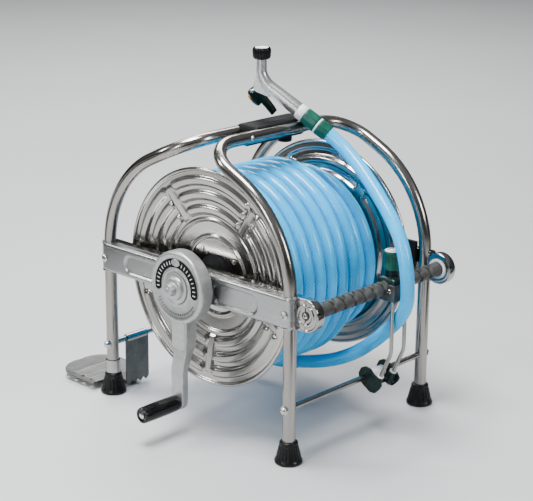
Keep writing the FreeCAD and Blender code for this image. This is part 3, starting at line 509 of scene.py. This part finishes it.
def coil_route():
    """From the hanging hose's end back through the layers to the barrel."""
    points = [at(50, 155, 166), at(48.6, 153.6, 196), at(47, 150.6, 226)]
    swell = 1 / math.cos(math.pi / TURN_POINTS)
    step = PITCH / TURN_POINTS
    angle, x, direction = math.radians(26.0), 45.0, -1
    for layer in reversed(range(len(LAYERS))):
        end = COIL_LOW[layer] if direction < 0 else COIL_HIGH
        while (end - x) * direction > 0:
            rise = 0.0
            left = abs(end - x) / step
            if left < CLIMB_POINTS and layer:
                rise = (LAYERS[layer - 1] - LAYERS[layer]) * (1 - left / CLIMB_POINTS) * 0.5
            radius = (LAYERS[layer] + rise) * swell
            clear = max(x, RIM_NEAR + between(DISH, radius) + 12.4)
            points.append(about_axle(clear, radius, angle))
            angle += TAU / TURN_POINTS
            x += direction * step
        direction = -direction
    return points


coil_line = spline_line(coil_route(), 5)
coil = piece("wound_hose", tube_mesh(coil_line, HOSE_DIA / 2 * MM), HOSE_BLUE, "drum",
             ["hose_coil"], 60)

LEAD_ROUTE = [
    (62.6, -66.33, 423.53),
    (69.8, -83.1, 411),
    (68, -115, 390),
    (59, -149, 369),
    (49, -181, 347),
    (40, -211, 323),
    (32, -235, 297),
    (28, -248, 266),
    (28, -252, 235),
    (33, -248.5, 206),
    (38, -232.5, 180),
    (42, -209, 156),
    (44, -184, 132),
    (46, -148, 103),
    (48, -108, 80),
    (52, -65, 63),
    (56, -20, 50),
    (60, 28, 36),
    (61, 76, 38),
    (59, 118, 58),
    (56, 146, 92),
    (52, 156, 130),
    (50, 155, 166),
]
lead_line = spline_line([at(*p) for p in LEAD_ROUTE], 8)
lead = piece("hose_to_nozzle", tube_mesh(lead_line, HOSE_DIA / 2 * MM, 24), HOSE_BLUE, None,
             ["hose_lead"], 60)
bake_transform(lead)

# --- flanges and hubs --------------------------------------------------------
FLATS = [math.radians(a) for a in span(55, 343, 72)]   # the radial strips
FLANGES = (("near", -1, RIM_NEAR), ("far", 1, RIM_FAR))


def flange_depth(radius, angle):
    """How far a flange's outer skin lies inside its rim's plane."""
    depth = between(DISH, radius)
    for ridge, high, half in ((60, 3.0, 4.2), (86, 2.5, 3.4)):
        depth -= high * smooth_step(1.25 * (1 - abs(radius - ridge) / half))
    arc = radius * min(abs((angle - flat + math.pi) % TAU - math.pi) for flat in FLATS)
    for middle in (101, 123.5, 145.5):
        off = math.hypot(radius - middle, max(0.0, 15.0 - arc))
        depth -= 4.4 * smooth_step((8.6 - off) / 5.2)
    strip = smooth_step((8.2 - arc) / 3.0) * smooth_step((151 - radius) / 4)
    return depth - 2.4 * strip * smooth_step((radius - 91) / 4)


def pressed_flange(rim, out, around=330, sheet=1.0):
    """One skin out to the rim, a rolled bead, and the other skin back."""
    skin = [18.0 + 1.15 * i for i in range(124)]
    bead = [cos_sin(a) for a in span(-65, 245, 22)]
    sections = []
    for k in range(around):
        angle = TAU * k / around
        ring = [(rim - out * flange_depth(r, angle), r) for r in skin]
        ring += [(rim + out * 3.0 * c, 163 + 3.0 * s) for c, s in bead]
        ring += [(rim - out * (flange_depth(r, angle) + sheet), r) for r in reversed(skin)]
        sections.append([about_axle(x, r, angle) for x, r in ring])
    return loft(sections, closed=True)


for side, out, rim in FLANGES:
    piece(side + "_flange_pressing", pressed_flange(rim, out), PRESSED_STEEL, "drum",
          ["flange_" + side], 60)

hub = [(-16, 9.1), (-16, 17.5), (0.1, 17.5), (0.1, 31.5), (1.0, 32), (5.5, 31), (7, 29.5),
       (12, 22.5), (13.6, 20), (14, 19), (14, 14.5), (11, 13.5), (11, 9.1)]
for side, out, rim in FLANGES:
    piece(side + "_hub_moulding", lathe(hub, at(rim - out * 17, 0, AXLE_Z), (out, 0, 0), 80),
          BLACK, "drum", ["hub_" + side])

heads = [pan_head(about_axle(rim - out * 16.9, 46, math.radians(52 + 90 * i)),
                  (out, 0, 0), 3.6, 7.5)
         for side, out, rim in FLANGES for i in range(4)]
piece("hub_fasteners", heads, SCREW_STEEL, "drum", ["hub_screws"])

# --- bearing arms ------------------------------------------------------------
PLATE_END = 12.0            # how far the near plate goes on past each leg's middle


def slot_depth(y, z, y_low, y_high, z_middle, radius):
    """Depth of a pressed slot with round ends."""
    over = max(0.0, y_low + radius - y, y - (y_high - radius))
    return 2.6 * smooth_step((radius - math.hypot(over, z - z_middle)) / 3.0)


def plate_section(y):
    """The near plate's outline across its length at one station."""
    corner = [cos_sin(a) for a in span(0, 90, 18)]
    points = [(-150.3, 203.4), (-155, 203.2)]
    points += [(-159 - 4 * s, 207.2 - 4 * c) for c, s in corner]
    points += [(-163 + slot_depth(y, z, 40, 144, 225, 15.5)
                + slot_depth(y, z, -137, -45, 224, 16), z) for z in span(208.4, 243.6, 1.1)]
    points += [(-159 - 4 * c, 244.8 + 4 * s) for c, s in corner]
    points += [(-155, 248.8), (-150.3, 248.6)]
    off = max(0.0, abs(y) - LEG_Y)
    squeeze = math.sqrt(max(0.0, 1 - (off / PLATE_END) ** 2))
    return [at(-LEG_X + (x + LEG_X) * squeeze if x < -LEG_X else x, y, z) for x, z in points]


def wrap_arc(sign, radius):
    """The plate's bend round a leg, seen from above."""
    return [(-LEG_X - radius * c, sign * (LEG_Y + radius * s))
            for c, s in map(cos_sin, span(-100, 100, 10))]


stations = [-199.4, -198.6, -197.5, -196, -194.5, -193, -191, -189.5, -188]
stations += span(-186.5, 186.5, 1.5) + [-y for y in reversed(stations)]
plate = [loft([plate_section(y) for y in stations])]
for sign in (-1, 1):
    lip = wrap_arc(sign, 12.6) + wrap_arc(sign, 12.6 * 0.82)[::-1]
    plate += [extruded(Z, lip, heights) for heights in ((202.9, 204.6), (247.4, 249.1))]
soften(piece("near_arm_plate", plate, ARM_STEEL, "frame", ["near_arm_outer"], 40),
       0.3, 2)

case = [(-149.9, 202.2), (-137.5, 202.2), (-135, 203.1), (-134, 205.5), (-134, 246.5),
        (-135, 248.9), (-137.5, 249.8), (-149.9, 249.8)]
nose = [(-16, 0), (-16, 21.5), (-15, 23.4), (-13, 24), (-0.9, 24), (0, 23.2), (0.1, 21.4),
        (-0.9, 20.6), (-0.9, 17.2), (0.6, 16), (0.9, 14.4), (0.6, 12.6), (-1.4, 11), (-1.6, 6.5),
        (-4, 6), (-4, 0)]
soften(piece("drive_case", [extruded(Y, case, (-213.5, 198.8)),
                            lathe(nose, at(-150, SCREW_Y, AXLE_Z), NEARWARD, 96)],
             CASE_STEEL, "frame", ["near_arm_inner"], 40), 0.5, 2)
piece("nose_screw", pan_head(at(-148.6, SCREW_Y, AXLE_Z), NEARWARD, 4.4, 3.0), SCREW_STEEL,
      "frame", ["pivot_screw"])

# the far bracket: a plate with turned edges and a round nose holding the screw's bush
bracket = [(149.5, 202.2), (159.5, 202.2), (162, 203.2), (163, 205.7), (163, 246.3),
           (162, 248.8), (159.5, 249.8), (149.5, 249.8)]
nose = [(5, 0), (5, 14.5), (0, 16.5), (0, 22), (0.8, 23.6), (2.2, 24), (13, 24), (15, 23.2),
        (15.5, 21.5), (15.5, 0)]
soften(piece("far_arm_bracket", [extruded(Y, bracket, (-199.5, 198.9)),
                                 lathe(nose, at(147.6, SCREW_Y, AXLE_Z), FARWARD, 96)],
             CASE_STEEL, "frame", ["far_arm_outer", "far_arm_inner"], 40), 0.5, 2)
bush = [(-1.4, 11.2), (-1.4, 14.2), (-0.6, 15.2), (1, 15.2), (1, 11.2)]
piece("far_screw_bush", lathe(bush, at(148.4, SCREW_Y, AXLE_Z), FARWARD, 72), WHITE, "frame",
      ["screw_bush_far"])

dome = [(-14, 0), (-14, 2), (0, 2), (0, 6.6), (1.2, 6.6), (1.3, 5.4), (2.6, 5.5), (4.6, 4.9),
        (6.2, 3.4), (6.9, 1.6), (7.0, 0)]
heads = []
for out in (-1, 1):
    for y in (-LEG_Y, LEG_Y):
        heads.append(pan_head(at(out * 163.2, y, AXLE_Z - 2), (out, 0, 0), 5.8, 10))
        heads.append(lathe(dome, at(out * 160.4, y, BAR_Z), (out, 0, 0), 32))
piece("frame_fasteners", heads, SCREW_STEEL, "frame", ["frame_screws"])

# --- crank -------------------------------------------------------------------
FACE = -190.4               # the crank's outer face along the axle
housing = [(0.4, 9.1), (0.4, 52), (1.6, 53.6), (3, 54), (19.2, 54.2), (21.4, 53.6), (23, 51.8),
           (23.4, 49.8), (23.4, 48.2), (22.8, 47.2), (22.8, 28.5), (23.6, 27.6), (23.6, 24.6),
           (22.4, 23.6), (22.4, 9.1)]
socket = [[at(x, y, z) for x, y in ((-187.4, -half + 3), (-184.4, -half), (-165, -half),
                                    (-165, half), (-184.4, half), (-187.4, half - 3))]
          for z, half in ((184, 16.5), (150, 15.4), (131.2, 14.6))]
soften(piece("crank_housing_casting",
             [lathe(housing, at(-167, 0, AXLE_Z), NEARWARD, 160), loft(socket)],
             CAST_GREY, "drum", ["crank_housing"], 40), 0.5, 2)

# the face: a dark band with pale ticks, two rows of dark ticks and an oval boss
band = []
for a in span(-15, 195, 3):
    over = max(0.0, abs(a - 90) - 97)
    half = max(0.5, 6.5 * math.sqrt(max(0.0, 1 - over ** 2 / 72)))
    band.append([about_axle(FACE + dx, 37.2 + dr, math.radians(a))
                 for dx, dr in ((0.6, -half), (0.05, -half), (0.05, half), (0.6, half))])
piece("crank_face_band", loft(band), BLACK, "drum", ())


def face_ticks(radius, tall, wide, angles):
    """Small raised bars that point at the axle, clear of the boss."""
    made = []
    for a in angles:
        if abs(a - 90) < 18:
            continue
        c, s = cos_sin(a)
        corners = [(radius + v * tall, u * wide)
                   for u, v in ((-0.5, -0.5), (0.5, -0.5), (0.5, 0.5), (-0.5, 0.5))]
        made.append(extruded(X, [(r * c - u * s, AXLE_Z + r * s + u * c) for r, u in corners],
                             (FACE + 0.3, FACE - 0.12)))
    return made


oval = [(8.5 * math.cos(TAU * i / 32), 5.4 * math.sin(TAU * i / 32)) for i in range(32)]
boss = [[at(FACE + dx, u * size, AXLE_Z + 38 + v * size) for u, v in oval]
        for dx, size in ((0.4, 1), (-0.5, 1), (-0.9, 0.9))]
piece("crank_face_boss", loft(boss), CAST_GREY, "drum", ())
piece("crank_face_marks", face_ticks(37.4, 5.2, 1.0, span(-6, 186, 9.6)), WHITE, "drum", ())
piece("crank_face_engraving", face_ticks(40.4, 2.8, 1.0, span(212, 328, 6.5))
      + face_ticks(45.4, 1.7, 0.8, span(216, 324, 4.8)), BLACK, "drum", ())

knob = [(-0.5, 0), (-0.5, 22.5), (0.6, 22.5), (1.2, 21.4), (1.2, 17.6), (2.4, 17), (5.2, 16.4),
        (6.2, 15.2), (6.4, 11.2), (7.2, 10), (15.2, 9.2), (16.6, 8.6), (17.3, 7.2), (17.3, 4.9),
        (16.7, 4.5), (16.7, 3.9), (17.3, 3.5), (17.3, 1.6), (15.4, 1.2), (15.4, 0)]
piece("lock_knob_turned", lathe(knob, at(FACE - 0.3, 0, AXLE_Z), NEARWARD, 96), CAST_GREY,
      "lock_knob", ["lock_knob"])

# the arm, by (height, outer face, inner face, half width)
arm = [(131.1, -183.2, -166.2, 12.6), (128, -183.2, -166.4, 12.6), (99, -190.2, -178.6, 12.4),
       (60, -190.2, -179, 12.2), (50, -190.2, -179, 12.0), (44, -190.2, -179, 10.6),
       (39.5, -190.2, -179, 7.8), (36.8, -190.2, -179, 4.2), (35.7, -190.2, -179, 1.0)]
soften(piece("crank_arm_casting",
             loft([[at(front, -half, z), at(back, -half, z), at(back, half, z), at(front, half, z)]
                   for z, front, back, half in arm]),
             CAST_GREY, "drum", ["crank_arm"], 30), 1.1, 3)
GRIP_SEAT = at(-191, 0, AXLE_Z - 178)
grip = [(0.2, 4.3), (0.2, 10.4), (1.4, 11.4), (8, 12.0), (24, 12.4), (50, 12.4), (66, 12.0),
        (69, 11.5), (69.9, 10.4), (69.9, 8.6), (69.2, 7.6), (68.6, 4.3)]
piece("crank_grip_moulding", lathe(grip, GRIP_SEAT, NEARWARD, 72), GLOSS_BLACK, "crank_grip",
      ["crank_grip"])
spindle = [(-12, 0), (-12, 4), (68.8, 4), (69.0, 4.9), (69.9, 4.6), (70.8, 3.2), (71.2, 1.4),
           (71.2, 0)]
piece("crank_spindle_rivet", lathe(spindle, GRIP_SEAT, NEARWARD, 40), SCREW_STEEL, "drum",
      ["crank_spindle"])

# --- level-wind screw --------------------------------------------------------
SCREW_LEAD = 21.75
THREAD_LOW, THREAD_HIGH = -116, 139


def thread_radius(x, turn):
    """Two crossing grooves that fade out at the thread's ends."""
    off = SCREW_LEAD * min(abs((x / SCREW_LEAD + way * turn + 0.5) % 1 - 0.5) for way in (1, -1))
    fade = smooth_step((x - THREAD_LOW) / 3) * smooth_step((THREAD_HIGH - x) / 3)
    return 10.8 - 4.0 * smooth_step(2.9 - off) * fade


thread = []
for x in span(THREAD_LOW, THREAD_HIGH, 0.6):
    ring = []
    for k in range(72):
        a, r = TAU * k / 72, thread_radius(x, k / 72)
        ring.append(at(x, SCREW_Y + r * math.cos(a), AXLE_Z + r * math.sin(a)))
    thread.append(ring)
near_journal = [(-16, 0), (-16, 5.9), (3, 5.9), (3, 10.4), (3.6, 11), (18.5, 11), (19, 10.4),
                (19, 0)]
far_journal = [(0, 0), (0, 10.4), (0.6, 10.8), (7.6, 10.8), (8.4, 10), (8.4, 5.9), (20, 5.9),
               (20, 0)]
piece("level_wind_screw", [loft(thread),
                           lathe(near_journal, at(-134, SCREW_Y, AXLE_Z), FARWARD, 56),
                           lathe(far_journal, at(138.5, SCREW_Y, AXLE_Z), FARWARD, 56)],
      SCREW_GREY, "screw", ["level_screw"], 50)

# --- hose guide --------------------------------------------------------------
GUIDE_X = 38.0              # the guide's middle at rest
block = [[at(GUIDE_X + u, SCREW_Y - 2.5 + v, z)
          for u, v in round_box(34 + 2 * grow, 34 + 2 * grow, 4)]
         for z, grow in ((207.3, -1.2), (208.6, 0), (236.5, 0), (239.4, -1.4), (241.5, -4.5))]
neck = [(0, 0), (0, 12.2), (2.5, 12.2), (3.6, 10), (14.5, 9.4), (14.5, 0)]
soften(piece("guide_block_moulding",
             [loft(block), lathe(neck, at(GUIDE_X, SCREW_Y, 238), UP, 48)],
             DARK_GREEN, "guide", ["guide_block"], 40), 0.5, 2)
bracket = [(GUIDE_X - 18.2, 208), (GUIDE_X + 1, 208), (GUIDE_X + 1, 229), (GUIDE_X - 3, 233),
           (GUIDE_X - 18.2, 233)]
soften(piece("guide_bracket",
             [extruded(Y, bracket, (SCREW_Y - 20.6, SCREW_Y - 19)),
              brick((GUIDE_X - 18.4, SCREW_Y - 20.4, 208), (GUIDE_X - 16.9, SCREW_Y + 4, 233))],
             BRACKET_GREY, "guide", (), 40), 0.4, 2)
piece("guide_bracket_screw", pan_head(at(GUIDE_X - 17.4, -225, AXLE_Z - 3), NEARWARD, 3.4, 3),
      SCREW_STEEL, "guide", ["guide_screw"])

knob = [(8, 0), (8, 8.6), (0, 8.6), (0, 10.6), (1, 11.2), (2, 11.2), (4, 11), (12, 10.8),
        (20, 10.8), (21.6, 11), (23.4, 12.4), (24.4, 13), (27.4, 13), (28.4, 12.4), (28.6, 11.4),
        (28.2, 10.8), (28.2, 0)]
piece("release_knob_moulding",
      lathe(knob, at(GUIDE_X, SCREW_Y, AXLE_Z + 25), UP, 96, fluted(16, 0.9, 3, 21, 9)),
      GREEN, "release", ["release_knob"])
cap = [(0, 0), (0, 10.4), (0.5, 10.8), (0.9, 10.4), (0.9, 0)]
piece("release_knob_cap", lathe(cap, at(GUIDE_X, SCREW_Y, AXLE_Z + 53.1), UP, 56), WHITE,
      "release", ())
dots = []
for a in span(20, 120, 10) + span(200, 300, 10):
    c, s = cos_sin(a)
    dots.append(lathe([(0, 0), (0, 1.1), (0.25, 1.1), (0.25, 0)],
                      at(GUIDE_X + 6.4 * c, SCREW_Y + 6.4 * s, AXLE_Z + 54.0), UP, 10))
piece("release_knob_marks", dots, BLACK, "release", ())

# the shoe that runs along the lower bar on a roller, and the rods down to it
ROD_LEAN = Vector((0, 26, -57)).normalized()
cheek = [(-219, 76), (-216, 70), (-207, 61), (-198, 60.5), (-181, 71), (-176.5, 78), (-175.5, 86),
         (-180, 95), (-188, 98.5), (-197, 97), (-204, 90), (-214, 84)]
socket = [(-1, 3.1), (-1, 5), (0.4, 5.6), (19.6, 5.6), (21, 4.6), (21, 3.1)]
collar = [(-2.4, 3.1), (-2.4, 5.4), (-0.9, 5.4), (-0.9, 3.1)]
shoe, collars = [], []
for sign in (-1, 1):
    middle = GUIDE_X + sign * 21
    rod_foot = at(GUIDE_X + sign * 14.75, -210.8, 86)
    shoe += [extruded(X, cheek, (middle - 2, middle + 2)), lathe(socket, rod_foot, ROD_LEAN, 36),
             lathe([(0, 0), (0, 5), (8, 5), (8, 0)], at(GUIDE_X + sign * 13, -207, 72),
                   (sign, 0, 0), 24)]
    collars.append(lathe(collar, rod_foot, ROD_LEAN, 36))
shoe.append(brick((GUIDE_X - 20, -198, 66), (GUIDE_X + 20, -186.5, 69.6)))
soften(piece("guide_shoe_moulding", shoe, DARK_GREEN, "guide", ["guide_shoe"], 35),
       0.9, 3)
piece("rod_collars", collars, WHITE, "guide", ())
roller = [(0.4, 4.7), (0.4, 7.4), (1.6, 8.4), (5, 8.4), (6, 7.9), (31, 7.9), (32, 8.4), (35.6, 8.4),
          (36.8, 7.4), (36.8, 4.7)]
piece("guide_roller_turned", lathe(roller, at(GUIDE_X - 18.6, -LEG_Y, BAR_Z), FARWARD, 56), WHITE,
      "roller", ["guide_roller"])

# --- feet and pedal ----------------------------------------------------------
foot = [(0, 0), (0, 18.6), (1, 20), (2.4, 20.4), (4.4, 20.4), (5.6, 19.6), (8, 18.6), (14, 17.2),
        (20, 15.7), (25, 14.5), (27, 14.0), (27.6, 13.1), (28.4, 13.1), (29, 13.6), (31.6, 13.4),
        (32.8, 12.4), (33, 11), (33, 9.55), (6, 9.55), (6, 0)]
for name, x, y in (("foot_front_near", -LEG_X, -LEG_Y), ("foot_rear_near", -LEG_X, LEG_Y),
                   ("foot_front_far", LEG_X, -LEG_Y), ("foot_rear_far", LEG_X, LEG_Y)):
    piece(name + "_moulding", lathe(foot, at(x, y, 0), UP, 120, fluted(20, 0.9, 7, 26, 10)),
          RUBBER, "frame", [name], 50)

PEDAL_X = -120.0


def tread_section(y):
    """The tread across at one station: turned-down edges, a raised rim, ribs and a round end."""
    half = 12 + math.sqrt(max(0.0, 1600 - max(0.0, y - 268) ** 2))
    rib = 13.4 + (0.45 * math.cos(TAU * y / 7.5) if y < 300 else 0.0)
    outline = [(-half, 10.2), (-half, 13.0), (-half + 1.0, 13.9), (-half + 6, 13.5),
               (-half + 8, rib), (half - 8, rib), (half - 6, 13.5), (half - 1.0, 13.9),
               (half, 13.0), (half, 10.2), (half - 1.2, 10.2), (half - 1.2, 12.2),
               (-half + 1.2, 12.2), (-half + 1.2, 10.2)]
    return [at(PEDAL_X + u, y, z) for u, z in outline]


stations = [212, 213] + span(214, 268, 1.25)
stations += [268 + 40 * math.sin(math.radians(a)) for a in span(2, 90, 4)]
holes = [lathe([(-6, 0), (-6, 2.8), (6, 2.8), (6, 0)], at(PEDAL_X - 45, 226 + 20 * i, 12.5), UP, 20)
         for i in range(4)]
teeth = [(-24, BAR_Z), (24, BAR_Z)]
for tip in (24, 12, 0, -12):
    teeth += [(tip - u, 4.4 + 5.6 * abs(u - 6) ** 1.5 / 14.7) for u in (0, 2, 4, 6, 8, 10)]
teeth.append((-24, 10))
piece("pedal_pressing",
      [holed(loft([tread_section(y) for y in stations]), merged(holes)),
       brick((PEDAL_X - 8, 184.6, 11.6), (PEDAL_X + 30, 213, 13.2)),
       extruded(Y, [(PEDAL_X + 16 + u, z) for u, z in teeth], (183.2, 184.8))],
      PEDAL_GREY, "pedal", ["pedal"], 30)
sleeve = [(-4, 4.9), (-4, 6.2), (-3.6, 6.5), (37.6, 6.5), (38, 6.2), (38, 4.9)]
piece("pedal_sleeve", lathe(sleeve, at(PEDAL_X, LEG_Y, BAR_Z), FARWARD, 40), CASE_STEEL, "pedal",
      ())


# --- carrying grip -----------------------------------------------------------
def grip_shell(x_low, x_high, profile, end, step):
    """Half of the grip, along x. It is drawn in over a length at each end."""
    rim = [0, 0.6, 1.6, 3, 5]
    stops = [x_low + r for r in rim] + span(x_low + 2 * end, x_high - 2 * end, step)
    sections = []
    for x in stops + [x_high - r for r in reversed(rim)]:
        edge = min(x - x_low, x_high - x)
        k = math.sqrt(max(0.0, 1 - max(0.0, 1 - edge / end) ** 2))
        sections.append([at(x, y * (0.90 + 0.10 * k), 430 + z * (0.35 + 0.65 * k))
                         for y, z in profile])
    return loft(sections)


upper = [(-21.6, 6.5), (-21.9, 9.0), (-20.6, 11.0), (-17.5, 12.5), (-13, 13.0), (0, 13.1),
         (13, 13.0), (17.5, 12.5), (20.6, 11.0), (21.9, 9.0), (21.6, 6.5), (12, 3), (-12, 3)]
panel = [[at(12 + u * size, v * size, z) for u, v in round_box(92, 24, 11.5, 8)]
         for z, size in ((442.4, 1.0), (443.0, 0.985), (443.5, 0.94))]
piece("grip_top_moulding", [grip_shell(-45, 69, upper, 5, 6), loft(panel)], BLACK, "frame",
      ["grip_top"], 45)
lower = [(-18.2, 0.8), (-19.2, -6), (-18.6, -11), (-15, -14), (15, -14), (18.6, -11),
         (19.2, -6), (18.2, 0.8)]
boss = [(-2, 0), (-2, 11), (4.5, 11), (7.6, 10), (8, 8), (8, 0)]
piece("grip_bottom_moulding",
      [grip_shell(-64, 66, lower, 6, 8), lathe(boss, at(32, -6, 416), (0, 0, -1), 56)], BLACK,
      "frame", ["grip_bottom"], 45)
piece("grip_fasteners", [pan_head(at(x, -28.6, 430.5), (0, -1, 0), 3.8, 20) for x in (-61, 63)],
      SCREW_STEEL, "frame", ["grip_screws"])

# --- spray nozzle ------------------------------------------------------------
BEND = at(20.5, 31.9, 497.2)            # where the upright head meets the sloping barrel
BARREL = at(62.5, -66.1, 423.7) - BEND
RUN, REACH = BARREL.normalized(), BARREL.length / MM
# (along the barrel's line, radius)
NECK = [(0, 7.7), (22, 7.9), (40, 9.3), (60, 10.0), (98, 11.3), (110, 11.4)]
neck_line = spline_line([BEND + Vector((0, 0, rise)) * MM for rise in (34.4, 22, 9)]
                        + [BEND + RUN * run * MM for run in (10, 24, 45, 71.8)], 8)
barrel = tube_mesh(neck_line, lambda along: MM * between(NECK, along / MM), 48)
across = Vector((0, 0, 1)).cross(RUN).normalized()
back = Vector((-RUN.x, -RUN.y, 0)).normalized()
web = [[BEND + (across * offset + back * u + Vector((0, 0, v))) * MM
        for u, v in ((4, 31), (7.6, 30), (8.8, 6), (12.4, -8), (12.6, -15), (8, -18),
                     (-13, -25), (-24, -18), (0, 0))] for offset in (-1.9, 1.9)]
soften(piece("nozzle_casting", [barrel, loft(web)], SILVER, "frame", ["nozzle_body"],
             45), 0.4, 2)

collar = [(72, 9), (72, 11.4), (73, 12), (82.6, 12), (83.6, 11.4), (83.6, 9)]
piece("nozzle_collar", lathe(collar, BEND, RUN), WHITE, "frame", ["nozzle_ring"])
connector = [(84, 8), (84, 11.9), (85, 12.4), (86.6, 12.6), (89, 12.8), (104, 13.4),
             (106.4, 13.3), (108, 12.6), (108.4, 8)]
piece("connector_moulding", lathe(connector, BEND, RUN, 120, fluted(10, 0.6, 87, 105, 10)), GREEN,
      "frame", ["hose_connector"], 50)
seal = [(108.2, 8), (108.2, 12.4), (108.8, 12.8), (110.2, 12.8), (110.8, 12.4), (110.8, 8)]
piece("connector_seal", lathe(seal, BEND, RUN), WHITE, "frame", ())
nut = [(110.9, 8), (110.9, 12.6), (111.6, 13.1), (114, 13.2), (122, 12.8), (126.4, 12.2),
       (128, 11.5), (129.2, 11.3), (REACH, 11.2), (REACH, 8)]
piece("hose_nut_moulding", lathe(nut, BEND, RUN, 120, fluted(10, 0.8, 112, 127, 10)), GREEN,
      "frame", ["hose_nut"], 50)
head = [(32.0, 0), (32.0, 9.5), (32.6, 11.6), (34, 13.0), (36, 13.6), (44.6, 14.1), (47, 13.9),
        (49.2, 13.0), (50.2, 11.6), (50.0, 10.7), (49.0, 10.4), (49.0, 0)]
piece("spray_head_moulding", lathe(head, BEND, UP, 144, fluted(18, 1.0, 34, 47.5, 12.8)),
      GLOSS_BLACK, "nozzle_head", ["nozzle_head"], 50)
# a white disc in the head's recessed top: partly its own pale top face, partly a painted highlight
# along the top's edge
face = [(48.6, 0), (48.6, 10.2), (49.6, 10.2), (50.0, 9.6), (49.5, 8.6), (49.5, 0)]
piece("spray_head_pale_top_and_painted_highlight", lathe(face, BEND, UP, 80), WHITE, "nozzle_head", ())

TRIGGER = JOINTS["trigger_squeeze"]
PIVOT = Vector(TRIGGER["pos_m"])
PIN = Vector(TRIGGER["axis"]).normalized()
down = RUN.cross(PIN).normalized()
if down.z > 0:
    down = -down


def lever_mesh(path, shift=0.0):
    """A flat bent bar in the trigger's plane: (along, down, half thickness, half width)."""
    rings = []
    for i, (off, drop, thick, wide) in enumerate(path):
        a, b = path[max(i - 1, 0)], path[min(i + 1, len(path) - 1)]
        run = Vector((b[0] - a[0], b[1] - a[1])).normalized()
        centre = PIVOT + (RUN * off + down * drop + PIN * shift) * MM
        normal = RUN * -run.y + down * run.x
        rings.append([centre + (PIN * u + normal * v) * MM
                      for u, v in round_box(2 * wide, 2 * thick, thick * 0.6, 3)])
    return loft(rings)


strap = [(-4, 0.5, 2.0, 5.0), (0, 3, 3.0, 6.6), (6, 6.5, 2.8, 7.2), (13, 9, 2.4, 7.2),
         (21, 11.5, 2.2, 7.0), (29, 15, 2.2, 6.8), (36, 18.6, 2.0, 6.6), (43, 23, 1.8, 6.0)]
blade = [(-5, 2, 1.6, 5.0), (-1, 6, 3.4, 7.6), (5, 9.5, 4.2, 9.2), (11, 12, 4.2, 9.4),
         (17, 14, 3.4, 8.4), (20, 15, 2.0, 6.4)]
soften(piece("trigger_lever", [lever_mesh(strap), lever_mesh(blade, 5.5)], DARK_GREEN, "trigger",
             ["nozzle_trigger"], 50), 0.4, 2)
catch = [(-1, 5, 0.9, 1.6), (1, 6.5, 1.5, 1.9), (3.4, 8, 1.0, 1.6)]
piece("trigger_catch", lever_mesh(catch, 14.2), ORANGE, "trigger", ())
pin = [(-8, 0), (-8, 2), (7.4, 2), (7.4, 3.4), (8.4, 3.6), (9.6, 3.0), (10, 1.8), (9.4, 1.2),
       (9.4, 0)]
piece("trigger_pin_turned", lathe(pin, PIVOT, PIN, 32), SCREW_STEEL, "frame", ["trigger_pin"])

# --- floor, lights and world: metres, in the frame's own coordinates ----------
FLOOR = 14.0
floor_mesh = bpy.data.meshes.new("floor")
floor_mesh.from_pydata([(-FLOOR, -FLOOR, 0), (FLOOR, -FLOOR, 0), (FLOOR, FLOOR, 0),
                        (-FLOOR, FLOOR, 0)], [], [(0, 1, 2, 3)])
floor_mesh.materials.append(grained("floor_paint", (0.50, 0.51, 0.515), (0.53, 0.54, 0.545),
                                    (0.40, 0.48), scale=0.6, bump=0.0, fine=4.0))
floor = bpy.data.objects.new("floor", floor_mesh)
scene.collection.objects.link(floor)


def softbox(name, place, target, size, energy):
    data = bpy.data.lights.new(name, "AREA")
    data.shape = "RECTANGLE"
    data.size, data.size_y = size
    data.energy = energy
    lamp = bpy.data.objects.new(name, data)
    lamp.location = place
    lamp.rotation_euler = (Vector(target) - Vector(place)).to_track_quat("-Z", "Y").to_euler()
    scene.collection.objects.link(lamp)


MIDDLE = (0, 0, 0.25)
softbox("top", (-0.35, 0.1, 2.1), MIDDLE, (1.1, 0.7), 88)
softbox("left", (-2.25, -0.35, 0.95), MIDDLE, (0.3, 1.2), 36)
softbox("front", (0.5, -2.5, 1.4), MIDDLE, (0.55, 0.9), 30)
softbox("rear_left", (-1.5, 1.7, 1.5), MIDDLE, (0.35, 0.6), 26)
softbox("behind", (1.6, 1.9, 2.6), (1.8, 2.0, 0), (2.2, 2.0), 160)


def card(name, low, high, dark):
    """A matt card between two corners, out of sight, that only reflections meet."""
    (x0, y0, z0), (x1, y1, z1) = low, high
    mesh = loft([[Vector((x0, y0, z)), Vector((x1, y0, z)), Vector((x1, y1, z)),
                  Vector((x0, y1, z))] for z in (z0, z1)])
    mesh.materials.append(grained(name, (dark,) * 3, (dark * 1.2,) * 3, (0.8, 0.9), scale=3.0,
                                  bump=0.0))
    made = bpy.data.objects.new(name, mesh)
    scene.collection.objects.link(made)
    made.visible_camera = made.visible_shadow = made.visible_diffuse = False


card("card_left", (-1.6, 0.62, 0.002), (-0.42, 1.5, 0.012), 0.03)
card("card_right", (1.5, -1.6, 0.002), (1.55, -0.1, 1.1), 0.02)
card("card_front", (-1.95, -0.75, 0.002), (-1.9, -0.15, 1.0), 0.02)
card("card_near", (-0.75, -0.95, 0.002), (-0.1, -0.6, 0.012), 0.02)
card("card_beside", (0.17, -1.5, 0.002), (1.3, -0.57, 0.012), 0.02)

world = bpy.data.worlds.new("studio")
scene.world = world
world.use_nodes = True
world_tree = world.node_tree
backdrop = world_tree.nodes["Background"]
backdrop.inputs["Strength"].default_value = 0.24
direction = node(world_tree, "ShaderNodeTexCoord")
split = node(world_tree, "ShaderNodeSeparateXYZ")
sky = ramp(world_tree, (0.05, 0.05, 0.05), (0.97, 0.98, 1.0), 0.08, 0.62)
wire(world_tree,
     ((direction, "Generated"), (split, "Vector")),
     ((split, "Z"), (sky, "Fac")),
     ((sky, "Color"), (backdrop, "Color")))
